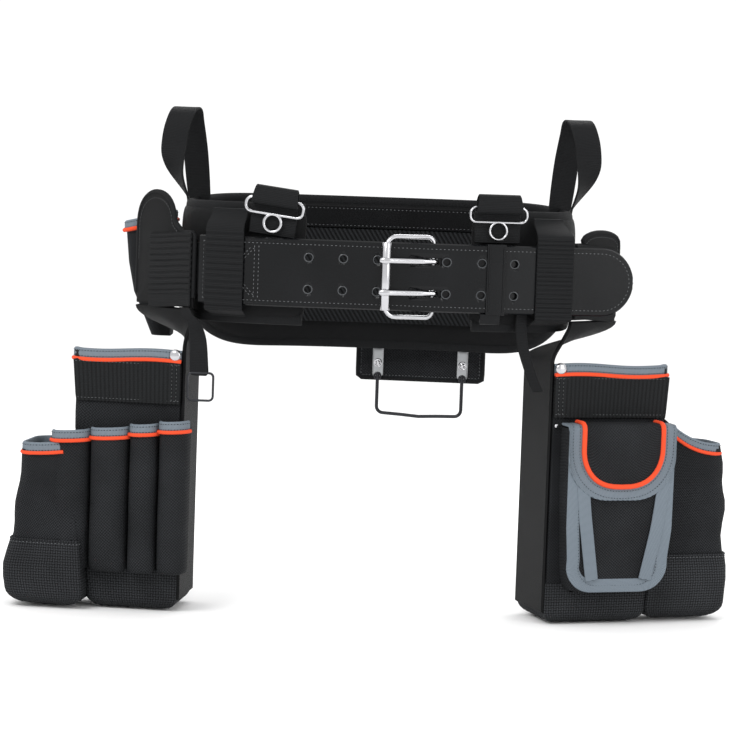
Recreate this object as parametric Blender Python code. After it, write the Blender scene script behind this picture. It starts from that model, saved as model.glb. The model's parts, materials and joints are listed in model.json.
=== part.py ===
"""Tool belt with two hanging pouches: the whole assembly, one object for each sub-part.

Metres, +Z up. The origin is the centre of the waist opening at the leather belt's mid height, +X is the
wearer's left, -Y is the front, where the buckle is. The belt stands in the shape of a waist.
"""

import math

import bmesh
import bpy
import numpy as np
from mathutils import Matrix, Vector

# ---------------------------------------------------------------- driving dimensions, metres
GAP = 0.0003  # between two pieces that touch
SEW_GAP = 0.0004  # under a piece sewn onto another

# Plan of the waist: a rounded oblong, flatter at the front than at the back.
WAIST_HALF_WIDTH = 0.200
WAIST_HALF_DEPTH = 0.155
FRONT_POWER = 3.6
BACK_POWER = 2.6

PAD_THICKNESS = 0.018
PAD_LEFT_END_X = -0.068
PAD_RIGHT_END_X = 0.089
PAD_FRONT_TOP = 0.0605
PAD_BACK_TOP = 0.0665
PAD_FRONT_BOTTOM = -0.046
PAD_BACK_BOTTOM = -0.086
PAD_STEP = 0.024

PANEL_ROOM = 0.0046  # left between the pad and the webbing belt
WEB_WIDTH = 0.050
WEB_THICKNESS = 0.0025
WEB_LEFT_END_X = -0.112
WEB_RIGHT_END_X = 0.084
WEB_FRONT_STEP = 0.008  # the chape and the loops lie against its front half
WEB_BACK_STEP = 0.020

LEATHER_WIDTH = 0.0636
LEATHER_THICKNESS = 0.0032
BILLET_END_ROOM = 0.010541  # from where the left hanger touches the pad, inward
BILLET_STRAIGHT_X = 0.120  # from here the tip end runs on straight
BILLET_TIP_X = 0.248
HOLE_RADIUS = 0.0036
HOLE_PITCH = 0.0328
HOLE_ROW_HEIGHT = 0.0153
HOLES_LEFT = 3
HOLES_RIGHT = 3
BUCKLED_HOLE_X = 0.0325

CHAPE_LEAF = 0.0018
CHAPE_END_X = 0.148
KEEPER_X = 0.111
KEEPER_WIDTH = 0.017
KEEPER_WALL = 0.0015
KEEPER_CLEARANCE = 0.0006

HEEL_X = 0.053
ROLLER_X = 0.008
BUCKLE_WIRE_RADIUS = 0.0024
BUCKLE_HALF_HEIGHT = 0.0385
BUCKLE_CORNER = 0.0062
ROLLER_RADIUS = 0.0046
ROLLER_HALF_LENGTH = 0.0265
ROLLER_CLEARANCE = 0.00035
PRONG_THICKNESS = 0.0022
PRONG_WIDTH = 0.0060
PRONG_TIP_X = 0.0030
PRONG_SLOT_CLEARANCE = 0.0008

LOOP_STRAP_WIDTH = 0.036
LOOP_STRAP = 0.0018
LOOP_CLEARANCE = 0.0008
LOOP_EDGE_ROOM = 0.003  # above and below the belt that passes through
LOOP_BACK_TAIL = 0.012
LOOP_STEEP_REACH = 0.012  # a loop that stands off further than this slants all the way to its ends
LOOP_LEAD_SHARE = 0.6
LOOP_SEWN_END = 0.001
LOOP_TOP = 0.0590
LOOP_BOTTOM = -0.0440
LOOP_LEFT_INSET = 0.027  # from the leather belt's stitched end to the middle of the left loop
LOOP_RIGHT_ALONG = 0.0485  # from where the tip end starts to run straight
LOOP_BACK_DISTANCE = 0.17  # round the waist from the middle of the back

HANDLE_WIDTH = 0.024
HANDLE_THICKNESS = 0.0022
HANDLE_FOOT_GAP = 0.0016
HANDLE_PIVOT_X = 0.189
HANDLE_PIVOT_Y = 0.004

RING_WIRE_RADIUS = 0.0016
RING_BAR_LENGTH = 0.056
RING_BAR_HEIGHT = 0.0142
RING_EYE_RADIUS = 0.0090
RING_EYE_SWELL = 1.06  # its wire over the link's, where the weld flattens it
RING_WIRE_SIDES = 6
TAB_WIDTH = 0.044
TAB_THICKNESS = 0.0016
TAB_BAR_Z = 0.0690
TAB_BAR_OFFSET = 0.0056
TAB_ROOT_Z = 0.0350
TAB_LEFT_ROOM = 0.0675  # from the leather belt's sewn end
TAB_LEFT_TILT = math.radians(7.0)
TAB_RIGHT_X = 0.1135

HAMMER_X = 0.050
HAMMER_PLATE_WIDTH = 0.136
HAMMER_PLATE_TOP = 0.034
HAMMER_PLATE_BOTTOM = -0.125
HAMMER_PLATE_THICKNESS = 0.0035
HAMMER_WIRE_RADIUS = 0.0022
HAMMER_LOOP_WIDTH = 0.092
HAMMER_LOOP_BOTTOM = -0.1625
HAMMER_LOOP_BOW = 0.003
HAMMER_TAB_WIDTH = 0.012
HAMMER_TAB_TOP = -0.090
HAMMER_TAB_BOTTOM = -0.1235
HAMMER_TAB_THICKNESS = 0.0016
HAMMER_RIVET_Z = -0.108
HAMMER_RIVET_RADIUS = 0.0042
HAMMER_RIVET_HEIGHT = 0.0014

# Hangers: flat padded panels that stand against the belt at its two front corners.
HANGER_ANGLE = math.radians(50.0)  # from the X axis, in plan
HANGER_THICKNESS = 0.004
HANGER_REAR = 0.085  # from where it touches the belt back to its rear edge
HANGER_LEFT_FRONT = 0.010
HANGER_RIGHT_FRONT = -0.0085
HANGER_BOTTOM = -0.040
HANGER_SHOULDER = 0.034
LEFT_TONGUE_TOP = 0.0725
RIGHT_TONGUE_TOP = 0.0470
TONGUE_HALF_WIDTH = 0.031
STRAP_THICKNESS = 0.0022
STRAP_WIDTH = 0.068
STRAP_TOP = 0.0330
STRAP_BOTTOM = -0.0390
LANYARD_WIDTH = 0.017
LANYARD_BOTTOM = -0.1000
LANYARD_END_AHEAD = 0.0073  # of the hanger's front edge
LANYARD_END_DEPTH = -0.0022  # from the hanger's inner face
LANYARD_RIGHT_X = 0.1400
LANYARD_RIGHT_END_X = 0.1600
LANYARD_RIGHT_WIDTH = 0.010
LANYARD_RIGHT_TOP = -0.0330
LANYARD_RIGHT_BOTTOM = -0.1080
TUNNEL_WIDTH = 0.050
HANGER_TUNNEL_WIDTH = 0.012
HOLSTER_TUNNEL_WIDTH = 0.040
TUNNEL_THICKNESS = 0.0016
PIVOT_GAP = 0.0030  # between a hanger and the panel that swings under it

STRAP_RING_WIDTH = 0.0250
STRAP_RING_HEIGHT = 0.0270
STRAP_RING_WIRE_RADIUS = 0.0013
STRAP_RING_CORNER = 0.004
STRAP_RING_SHIFT = (0.00156, -0.00010)  # from the middle of the lanyard's end, in plan

HOLSTER_FRONT_Y = -0.035
HOLSTER_BACK_Y = 0.027
HOLSTER_DEPTH = 0.048
HOLSTER_WALL = 0.0025
HOLSTER_BOTTOM = -0.074
HOLSTER_RIM = 0.041
HOLSTER_RIM_RISE = 0.012

# Pouches. Each has its own plan axes: u runs outward along its front, v runs back into its depth.
POUCH_WALL = 0.003
POUCH_BACK_WALL = 0.004
BACK_PANEL_COLUMNS = 6
BACK_PANEL_ROWS = 7
POUCH_DEPTH = 0.072
POUCH_RIM = -0.0810
POUCH_BASE = -0.3380
POUCH_REAR_DROP = 0.012  # the rear wall's rim is lower than the front's
BASE_THICKNESS = 0.004
BINDING_HEIGHT = 0.0100
BINDING_THICKNESS = 0.0055
BAND_TOP = -0.0935
BAND_BOTTOM = -0.1325
BAND_THICKNESS = 0.0025
PIECE_GAP = 0.0005
POCKET_WALL = 0.0022

LEFT_POUCH_SHIFT = (-0.010959, -0.008722)  # from where its hanger touches the pad, in plan
LEFT_POUCH_YAW = math.radians(7.0)
LEFT_POUCH_TOP_WIDTH = 0.1085
LEFT_POUCH_BOTTOM_WIDTH = 0.0880
RIGHT_POUCH_SHIFT = (-0.000841, -0.008722)
RIGHT_POUCH_YAW = math.radians(18.0)
RIGHT_POUCH_TOP_WIDTH = 0.1227
RIGHT_POUCH_BOTTOM_WIDTH = 0.1060

TUBE_EDGES = (0.1250, 0.0863, 0.0475, 0.0184, -0.0120)  # from the outer tube to the inner one
TUBE_TOPS = (-0.1630, -0.1590, -0.1540, -0.1500)
TUBE_BOTTOM = -0.3000
TUBE_DEPTH = 0.0270

LEFT_SIDE_TOP_WIDTH = 0.154
LEFT_SIDE_BOTTOM_WIDTH = 0.170
LEFT_SIDE_RIM = -0.1720
LEFT_SIDE_RIM_DROP = 0.0040
LEFT_SIDE_FRONT = -0.020  # it stands this far ahead of the pouch's front, beside the outer tube
RIGHT_SIDE_TOP_WIDTH = 0.1860
RIGHT_SIDE_BOTTOM_WIDTH = 0.1990
RIGHT_SIDE_RIM = -0.1330
RIGHT_SIDE_RIM_DROP = 0.0270
SIDE_POCKET_BOTTOM = -0.3370
SIDE_POCKET_DEPTH = 0.052
SIDE_POCKET_TUCK = 0.004  # its outer wall draws in this much at the base
SIDE_POCKET_TUCK_HEIGHT = 0.035

PHONE_INNER = 0.0090
PHONE_WIDTH = 0.1120
PHONE_DEPTH = 0.0220
PHONE_TOP = -0.1405
PHONE_BOTTOM = -0.3050
FLAP_TOP = -0.1345
FLAP_BOTTOM = -0.2035
FLAP_THICKNESS = 0.0026
FLAP_CORNER = 0.034

RIVET_RADIUS = 0.0058
RIVET_HEIGHT = 0.0032

# Distances outward from the pad's outer face, worked out from the layers that lie on it.
WEB_INNER = PANEL_ROOM
WEB_MIDDLE = WEB_INNER + WEB_THICKNESS / 2
WEB_OUTER = WEB_INNER + WEB_THICKNESS
CHAPE_INNER_MIDDLE = WEB_INNER - GAP - CHAPE_LEAF / 2
CHAPE_OUTER_MIDDLE = WEB_OUTER + GAP + CHAPE_LEAF / 2
CHAPE_FOLD_RADIUS = BUCKLE_WIRE_RADIUS + SEW_GAP + CHAPE_LEAF / 2
BILLET_LEFT_MIDDLE = WEB_OUTER + GAP + LEATHER_THICKNESS / 2
BILLET_RIGHT_MIDDLE = CHAPE_OUTER_MIDDLE + CHAPE_LEAF / 2 + SEW_GAP + LEATHER_THICKNESS / 2
PRONG_EYE_RADIUS = BUCKLE_WIRE_RADIUS + ROLLER_CLEARANCE + PRONG_THICKNESS / 2
PRONG_EYE_OUTER = PRONG_EYE_RADIUS + PRONG_THICKNESS / 2
BILLET_HEEL_MIDDLE = WEB_MIDDLE + PRONG_EYE_OUTER + SEW_GAP + LEATHER_THICKNESS / 2
ROLLER_OFFSET = BILLET_LEFT_MIDDLE + LEATHER_THICKNESS / 2 + SEW_GAP + ROLLER_RADIUS
HANGER_OFFSET = WEB_OUTER + PIECE_GAP


# ---------------------------------------------------------------- materials and objects
def make_material(name, colour, roughness, metallic=0.0):
    material = bpy.data.materials.new(name)
    material.use_nodes = True
    shader = material.node_tree.nodes["Principled BSDF"]
    shader.inputs["Base Color"].default_value = (*colour, 1.0)
    shader.inputs["Roughness"].default_value = roughness
    shader.inputs["Metallic"].default_value = metallic
    return material


def add_mesh(name, points, faces, material, smooth=False):
    """One closed solid from points and faces, its faces turned to point out."""
    mesh = bpy.data.meshes.new(name)
    mesh.from_pydata([tuple(point) for point in points], [], faces)
    shape = bmesh.new()
    shape.from_mesh(mesh)
    bmesh.ops.recalc_face_normals(shape, faces=shape.faces)
    shape.to_mesh(mesh)
    shape.free()
    if smooth:
        mesh.shade_smooth()
        mesh.set_sharp_from_angle(angle=math.radians(40))
    obj = bpy.data.objects.new(name, mesh)
    obj.data.materials.append(material)
    bpy.context.scene.collection.objects.link(obj)
    return obj


def side_faces(first, second, count):
    """Quads between two loops of points that start at these indices."""
    faces = []
    for i in range(count):
        after = (i + 1) % count
        faces.append((first + i, first + after, second + after, second + i))
    return faces


def loft(name, loops, material, closed=False, smooth=False):
    """A solid through a row of loops, capped at its two ends or joined round into a ring."""
    count = len(loops[0])
    points = [point for loop in loops for point in loop]
    faces = []
    for row in range(len(loops) - 1):
        faces += side_faces(row * count, (row + 1) * count, count)
    if closed:
        faces += side_faces((len(loops) - 1) * count, 0, count)
    else:
        faces.append(tuple(range(count)))
        faces.append(tuple(range(len(points) - count, len(points))))
    return add_mesh(name, points, faces, material, smooth)


def shell(name, outer, inner, material, floor, smooth=False):
    """A tube between outer and inner loops, low to high. With a floor it is a cup, open at the top."""
    count = len(outer[0])
    points = [point for loop in outer + inner for point in loop]
    inside = len(outer) * count
    faces = []
    for row in range(len(outer) - 1):
        faces += side_faces(row * count, (row + 1) * count, count)
    for row in range(len(inner) - 1):
        faces += side_faces(inside + row * count, inside + (row + 1) * count, count)
    faces += side_faces(inside - count, len(points) - count, count)
    if floor:
        faces.append(tuple(range(count)))
        faces.append(tuple(range(inside, inside + count)))
    else:
        faces += side_faces(0, inside, count)
    return add_mesh(name, points, faces, material, smooth)


def modify(obj, other, operation):
    modifier = obj.modifiers.new(operation.lower(), "BOOLEAN")
    modifier.object = other
    modifier.operation = operation
    modifier.solver = "EXACT"
    other.hide_render = True
    other.display_type = "WIRE"


def move_origin(obj, pivot):
    """Puts the object's origin at the pivot and leaves its shape where it is."""
    obj.data.transform(Matrix.Translation(-Vector(pivot)))
    obj.location = pivot
    return obj


def hang_from(name, pivot, objects):
    """An empty on a joint's axis, with the body's objects as its children."""
    empty = bpy.data.objects.new(name, None)
    empty.location = pivot
    empty.empty_display_size = 0.02
    bpy.context.scene.collection.objects.link(empty)
    for obj in objects:
        obj.parent = empty
        obj.location = obj.location - Vector(pivot)
    return empty


# ---------------------------------------------------------------- plane geometry
def unit(vector):
    return np.asarray(vector, float) / np.linalg.norm(vector)


def path_normals(path):
    """For each point of a plan path, its right-hand normal, longer at a corner so that walls stay even."""
    path = np.asarray(path, float)
    steps = [unit(b - a) for a, b in zip(path, path[1:])]
    sides = [np.array((step[1], -step[0])) for step in steps]
    normals = [sides[0]]
    for before, after in zip(sides, sides[1:]):
        middle = unit(before + after)
        normals.append(middle / max(0.3, middle @ before))
    normals.append(sides[-1])
    return normals


def vertical_strip(name, path, thickness, lows, highs, material):
    """A strap or wall that stands on edge along a plan path, with a low and a high edge at each point."""
    loops = []
    for point, normal, low, high in zip(path, path_normals(path), lows, highs):
        near = np.asarray(point) - normal * thickness / 2
        far = np.asarray(point) + normal * thickness / 2
        loops.append([(*near, low), (*far, low), (*far, high), (*near, high)])
    return loft(name, loops, material)


def thick_line(path, thickness):
    """The outline of a strap of even thickness bent along a path in its own plane."""
    path = np.asarray(path, float)
    normals = path_normals(path)
    right = [point + normal * thickness / 2 for point, normal in zip(path, normals)]
    left = [point - normal * thickness / 2 for point, normal in zip(path, normals)]
    return right + left[::-1]


def arc(centre, radius, start, end, steps):
    """Points on an arc, angles in degrees."""
    angles = np.radians(np.linspace(start, end, steps + 1))
    return [(centre[0] + radius * math.cos(a), centre[1] + radius * math.sin(a)) for a in angles]


def rounded_rectangle(width, height, radius, steps):
    """Points round a rectangle with round corners, its centre at the origin."""
    points = []
    for quarter, (x, y) in enumerate(((1, 1), (-1, 1), (-1, -1), (1, -1))):
        centre = (x * (width / 2 - radius), y * (height / 2 - radius))
        points += arc(centre, radius, 90 * quarter, 90 * quarter + 90, steps)
    return points


def wire(name, centres, radius, sides, plane_normal, material, closed):
    """A round wire along points that lie in one plane."""
    centres = [np.asarray(centre, float) for centre in centres]
    normal = unit(plane_normal)
    loops = []
    for index, centre in enumerate(centres):
        if closed:
            before = centres[index - 1]
            after = centres[(index + 1) % len(centres)]
        else:
            before = centres[max(index - 1, 0)]
            after = centres[min(index + 1, len(centres) - 1)]
        side = np.cross(unit(after - before), normal)
        loop = []
        for step in range(sides):
            angle = 2 * math.pi * (step + 0.5) / sides
            loop.append(centre + radius * (math.cos(angle) * side + math.sin(angle) * normal))
        loops.append(loop)
    return loft(name, loops, material, closed=closed, smooth=True)


def smooth_curve(points, steps):
    """A Catmull-Rom curve through the points, each a row of any length."""
    points = [np.asarray(point, float) for point in points]
    points = [2 * points[0] - points[1], *points, 2 * points[-1] - points[-2]]
    curve = []
    for a, b, c, d in zip(points, points[1:], points[2:], points[3:]):
        for t in np.arange(steps) / steps:
            square = (2 * a - 5 * b + 4 * c - d) * t**2
            cube = (3 * b - a - 3 * c + d) * t**3
            curve.append(0.5 * (2 * b + (c - a) * t + square + cube))
    return [*curve, points[-2]]


# ---------------------------------------------------------------- the waist's plan curve
def waist_point(angle):
    power = FRONT_POWER if math.sin(angle) < 0 else BACK_POWER
    across = abs(math.cos(angle) / WAIST_HALF_WIDTH) ** power
    along = abs(math.sin(angle) / WAIST_HALF_DEPTH) ** power
    radius = (across + along) ** (-1 / power)
    return radius * math.cos(angle), radius * math.sin(angle)


WAIST_ANGLES = np.radians(np.linspace(-90, 270, 1441))
WAIST_POINTS = np.array([waist_point(angle) for angle in WAIST_ANGLES])
WAIST_STEPS = np.linalg.norm(np.diff(WAIST_POINTS, axis=0), axis=1)
WAIST_DISTANCES = np.concatenate([[0.0], np.cumsum(WAIST_STEPS)])
WAIST_LENGTH = WAIST_DISTANCES[-1]


def on_waist(distance):
    """The pad's outer face at a distance round it from the front centre, positive towards +X."""
    distance = distance % WAIST_LENGTH
    x = np.interp(distance, WAIST_DISTANCES, WAIST_POINTS[:, 0])
    y = np.interp(distance, WAIST_DISTANCES, WAIST_POINTS[:, 1])
    return np.array((x, y))


def waist_normal(distance):
    step = 0.0005
    tangent = unit(on_waist(distance + step) - on_waist(distance - step))
    return np.array((tangent[1], -tangent[0]))


def off_waist(distance, offset):
    """A plan point at an offset outward from the pad's outer face."""
    return on_waist(distance) + waist_normal(distance) * offset


def front_distance(x):
    """The distance round the waist of the front point with this x, negative at the left."""
    quarter = len(WAIST_ANGLES) // 4
    right = np.interp(abs(x), WAIST_POINTS[: quarter + 1, 0], WAIST_DISTANCES[: quarter + 1])
    return math.copysign(right, x)


def stations(start, end, step):
    count = max(2, math.ceil(abs(end - start) / step) + 1)
    return np.linspace(start, end, count)


def front_stations(start_x, end_x, step=0.012):
    return stations(front_distance(start_x), front_distance(end_x), step)


# ---------------------------------------------------------------- waist pad and belt
def pad_edges(distance):
    """Low and high edge of the pad: it is taller behind the wearer's back than at its front ends."""
    y = on_waist(distance)[1] / WAIST_HALF_DEPTH
    to_back = 0.5 - 0.5 * math.cos(math.pi * min(1.0, max(0.0, (y - 0.05) / 0.85)))
    low = PAD_FRONT_BOTTOM + (PAD_BACK_BOTTOM - PAD_FRONT_BOTTOM) * to_back
    high = PAD_FRONT_TOP + (PAD_BACK_TOP - PAD_FRONT_TOP) * to_back
    return low, high


def build_waist_pad(material):
    chamfer = PAD_THICKNESS / 4
    start = front_distance(PAD_RIGHT_END_X)
    end = WAIST_LENGTH + front_distance(PAD_LEFT_END_X)
    loops = []
    for distance in stations(start, end, PAD_STEP):
        low, high = pad_edges(distance)
        section = [
            (0, low + chamfer),
            (0, high - chamfer),
            (-chamfer, high),
            (chamfer - PAD_THICKNESS, high),
            (-PAD_THICKNESS, high - chamfer),
            (-PAD_THICKNESS, low + chamfer),
            (chamfer - PAD_THICKNESS, low),
            (-chamfer, low),
        ]
        loops.append([(*off_waist(distance, offset), z) for offset, z in section])
    return loft("waist_pad", loops, material, smooth=True)


def build_web_belt(material):
    start = front_distance(WEB_RIGHT_END_X)
    right = WAIST_DISTANCES[len(WAIST_ANGLES) // 4]
    left = WAIST_LENGTH - right
    end = WAIST_LENGTH + front_distance(WEB_LEFT_END_X)
    front_right = stations(start, right, WEB_FRONT_STEP)
    front_left = stations(left, end, WEB_FRONT_STEP)
    distances = [*front_right[:-1], *stations(right, left, WEB_BACK_STEP), *front_left[1:]]
    path = [off_waist(distance, WEB_MIDDLE) for distance in distances]
    edge = WEB_WIDTH / 2
    return vertical_strip("web_belt", path, WEB_THICKNESS, [-edge] * len(path), [edge] * len(path), material)


def billet_left_end():
    """Where in x the leather belt's sewn end stops, just short of the left hanger."""
    return hanger_touch(-1)[0] + BILLET_END_ROOM


def billet_line():
    """Plan path of the leather belt and, for its straight tip end, the start and direction."""
    path = []
    for distance in front_stations(billet_left_end(), BILLET_STRAIGHT_X, 0.0085):
        x = on_waist(distance)[0]
        places = (ROLLER_X + 0.008, HEEL_X, HEEL_X + 0.022)
        heights = (BILLET_LEFT_MIDDLE, BILLET_HEEL_MIDDLE, BILLET_RIGHT_MIDDLE)
        path.append(off_waist(distance, np.interp(x, places, heights)))
    normal = waist_normal(front_distance(BILLET_STRAIGHT_X))
    return path, np.array((-normal[1], normal[0])), normal


def build_billet(material, cutter_material):
    path, direction, _ = billet_line()
    start = path[-1]
    radius = LEATHER_WIDTH / 2
    straight = (BILLET_TIP_X - start[0]) / direction[0] - radius
    halves = [radius] * len(path)
    for angle in (0, 20, 38, 54, 68, 80):
        path.append(start + direction * (straight + radius * math.sin(math.radians(angle))))
        halves.append(radius * math.cos(math.radians(angle)))
    billet = vertical_strip(
        "leather_billet", path, LEATHER_THICKNESS, [-half for half in halves], halves, material
    )
    for number in range(-HOLES_LEFT, HOLES_RIGHT + 1):
        for row in (-HOLE_ROW_HEIGHT, HOLE_ROW_HEIGHT):
            if number == 0:
                slot_end = HEEL_X + 2 * PRONG_EYE_RADIUS
                cutter = prong_slot(row, BUCKLED_HOLE_X - HOLE_RADIUS, slot_end, cutter_material)
            else:
                cutter = punched_hole(BUCKLED_HOLE_X + number * HOLE_PITCH, row, cutter_material)
            modify(billet, cutter, "DIFFERENCE")
    return billet


def punched_hole(x, z, material):
    """A round cutter through the leather belt, square to it."""
    path, direction, normal = billet_line()
    if x > BILLET_STRAIGHT_X:
        centre = path[-1] + direction * (x - path[-1][0]) / direction[0]
    else:
        distance = front_distance(x)
        normal = waist_normal(distance)
        centre = off_waist(distance, BILLET_RIGHT_MIDDLE if x > HEEL_X else BILLET_LEFT_MIDDLE)
    side = np.array((-normal[1], normal[0]))
    loops = []
    for depth in (-2 * LEATHER_THICKNESS, 2 * LEATHER_THICKNESS):
        loop = []
        for angle in np.radians(np.arange(0, 360, 45)):
            x_y = centre + normal * depth + side * HOLE_RADIUS * math.cos(angle)
            loop.append((*x_y, z + HOLE_RADIUS * math.sin(angle)))
        loops.append(loop)
    return loft("hole_cutter", loops, material)


def prong_slot(z, low_x, high_x, material, inner=0.0, outer=0.03):
    """A box cutter that gives a prong and its eye room, between two offsets from the pad."""
    half = PRONG_WIDTH / 2 + PRONG_SLOT_CLEARANCE
    loops = []
    for offset in (inner, outer):
        y = -WAIST_HALF_DEPTH - offset
        corners = ((low_x, -half), (high_x, -half), (high_x, half), (low_x, half))
        loops.append([(x, y, z + dz) for x, dz in corners])
    return loft("slot_cutter", loops, material)


def build_chape(material, cutter_material):
    """The buckle's own strap, folded round the heel bar with the webbing's end between its leaves."""
    leaf = front_stations(HEEL_X + 0.015, CHAPE_END_X, 0.009)
    outer = [off_waist(distance, CHAPE_OUTER_MIDDLE) for distance in leaf[::-1]]
    inner = [off_waist(distance, CHAPE_INNER_MIDDLE) for distance in leaf]
    heel = (HEEL_X, -WAIST_HALF_DEPTH - WEB_MIDDLE)
    fold = arc(heel, CHAPE_FOLD_RADIUS, 270, 90, 8)
    path = [*outer, *fold, *inner]
    half = LEATHER_WIDTH / 2
    edges = [half] * len(path)
    chape = vertical_strip("leather_chape", path, CHAPE_LEAF, [-edge for edge in edges], edges, material)
    reach = PRONG_EYE_OUTER + PRONG_SLOT_CLEARANCE
    for row in (-HOLE_ROW_HEIGHT, HOLE_ROW_HEIGHT):
        slot = prong_slot(row, HEEL_X - reach, HEEL_X + reach, cutter_material, inner=-0.004)
        modify(chape, slot, "DIFFERENCE")
    return chape


def build_keeper(material):
    low = SEW_GAP + KEEPER_WALL
    high = BILLET_RIGHT_MIDDLE + LEATHER_THICKNESS / 2 + KEEPER_CLEARANCE
    edge = LEATHER_WIDTH / 2 + KEEPER_CLEARANCE
    outer = []
    inner = []
    for distance in front_stations(KEEPER_X - KEEPER_WIDTH / 2, KEEPER_X + KEEPER_WIDTH / 2, 0.006):
        for loops, wall in ((inner, 0.0), (outer, KEEPER_WALL)):
            corners = [
                (low - wall, -edge - wall),
                (high + wall, -edge - wall),
                (high + wall, edge + wall),
                (low - wall, edge + wall),
            ]
            loops.append([(*off_waist(distance, offset), z) for offset, z in corners])
    keeper = shell("keeper", outer, inner, material, floor=False)
    centre = off_waist(front_distance(KEEPER_X), BILLET_RIGHT_MIDDLE)
    return move_origin(keeper, (*centre, 0.0))


# ---------------------------------------------------------------- buckle
def buckle_point(x, offset, z):
    return np.array((x, -WAIST_HALF_DEPTH - offset, z))


HEEL = buckle_point(HEEL_X, WEB_MIDDLE, 0.0)
ROLLER = buckle_point(ROLLER_X, ROLLER_OFFSET, 0.0)


def build_buckle_frame(material):
    """A bent wire frame, tilted so that its front bar clears the belt and its heel bar lies behind it."""
    across = unit(ROLLER - HEEL)
    up = np.array((0.0, 0.0, 1.0))
    middle = (HEEL + ROLLER) / 2
    width = np.linalg.norm(ROLLER - HEEL)
    outline = rounded_rectangle(width, 2 * BUCKLE_HALF_HEIGHT, BUCKLE_CORNER, 3)
    centres = [middle + across * a + up * b for a, b in outline]
    frame = wire("buckle_frame", centres, BUCKLE_WIRE_RADIUS, 8, np.cross(across, up), material, closed=True)
    return move_origin(frame, tuple(HEEL))


def build_roller(material):
    outer = []
    inner = []
    sides = 12
    for z in (-ROLLER_HALF_LENGTH, ROLLER_HALF_LENGTH):
        for loops, radius in ((outer, ROLLER_RADIUS), (inner, BUCKLE_WIRE_RADIUS + ROLLER_CLEARANCE)):
            ring = []
            for step in range(sides):
                angle = 2 * math.pi * step / sides
                ring.append(ROLLER + np.array((radius * math.cos(angle), radius * math.sin(angle), z)))
            loops.append(ring)
    roller = shell("buckle_roller", outer, inner, material, floor=False, smooth=True)
    return move_origin(roller, tuple(ROLLER))


def build_prong(name, z, material):
    """A flat prong curled round the heel bar, its tip resting on the roller."""
    rest = ROLLER_OFFSET + ROLLER_RADIUS + GAP + PRONG_THICKNESS / 2
    rise = rest - WEB_MIDDLE - PRONG_EYE_RADIUS
    run = HEEL_X - ROLLER_X
    lean = math.degrees(math.atan2(rise, run))
    curl = arc((HEEL_X, WEB_MIDDLE), PRONG_EYE_RADIUS, -195, 90 - lean, 11)
    path = [*curl, (ROLLER_X + 0.003, rest), (PRONG_TIP_X, rest - 0.0006)]
    outline = thick_line(path, PRONG_THICKNESS)
    loops = []
    for side in (-1, 1):
        loops.append([buckle_point(x, offset, z + side * PRONG_WIDTH / 2) for x, offset in outline])
    prong = loft(name, loops, material)
    return move_origin(prong, (HEEL[0], HEEL[1], z))


# ---------------------------------------------------------------- straps sewn to the pad
def build_hat_loop(name, feet, crowns, top, bottom, crown_half, thickness, material):
    """A strap from the pad out over the belt and back: feet and crowns are plan points across its width."""
    loops = []
    for foot, crown in zip(feet, crowns):
        reach = np.linalg.norm(crown - foot)
        outward = (crown - foot) / reach
        if reach < LOOP_STEEP_REACH:
            lead = min(reach, LOOP_LEAD_SHARE * (top - crown_half)) / 2
            low, high = -crown_half - lead, crown_half + lead
        else:
            low, high = bottom + LOOP_SEWN_END, top - LOOP_SEWN_END
        path = [(0.0, bottom), (0.0, low), (reach, -crown_half), (reach, crown_half), (0.0, high), (0.0, top)]
        loops.append([(*(foot + outward * r), z) for r, z in thick_line(path, thickness)])
    return loft(name, loops, material)


def build_pad_loops(material):
    half = LOOP_STRAP_WIDTH / 2
    inset = SEW_GAP + LOOP_STRAP / 2
    crown_half = LEATHER_WIDTH / 2 + LOOP_EDGE_ROOM
    over_belt = LEATHER_THICKNESS / 2 + LOOP_CLEARANCE + LOOP_STRAP / 2
    # Left front: over the stitched end of the leather belt.
    centre = front_distance(billet_left_end()) + LOOP_LEFT_INSET
    feet = []
    crowns = []
    for distance in np.linspace(centre - half, centre + half, 5):
        feet.append(off_waist(distance, inset))
        crowns.append(off_waist(distance, BILLET_LEFT_MIDDLE + over_belt))
    build_hat_loop("pad_loop_left", feet, crowns, LOOP_TOP, LOOP_BOTTOM, crown_half, LOOP_STRAP, material)
    # Right front: over the belt's straight tip end, which stands off from the pad there.
    path, direction, normal = billet_line()
    feet = []
    crowns = []
    for along in np.linspace(LOOP_RIGHT_ALONG - half, LOOP_RIGHT_ALONG + half, 5):
        spot = path[-1] + direction * along
        crowns.append(spot + normal * over_belt)
        feet.append(off_waist(front_distance(BILLET_STRAIGHT_X) + along, inset))
    build_hat_loop("pad_loop_right", feet, crowns, LOOP_TOP, LOOP_BOTTOM, crown_half, LOOP_STRAP, material)
    # Two more at the back, over the webbing only.
    for name, side in (("pad_loop_back_left", 1), ("pad_loop_back_right", -1)):
        centre = WAIST_LENGTH / 2 + side * LOOP_BACK_DISTANCE
        feet = []
        crowns = []
        for distance in np.linspace(centre - half, centre + half, 4):
            feet.append(off_waist(distance, inset))
            crowns.append(off_waist(distance, WEB_OUTER + LOOP_CLEARANCE + LOOP_STRAP / 2))
        edge = WEB_WIDTH / 2 + LOOP_EDGE_ROOM
        end = edge + LOOP_BACK_TAIL
        build_hat_loop(name, feet, crowns, end, -end, edge, LOOP_STRAP, material)


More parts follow.
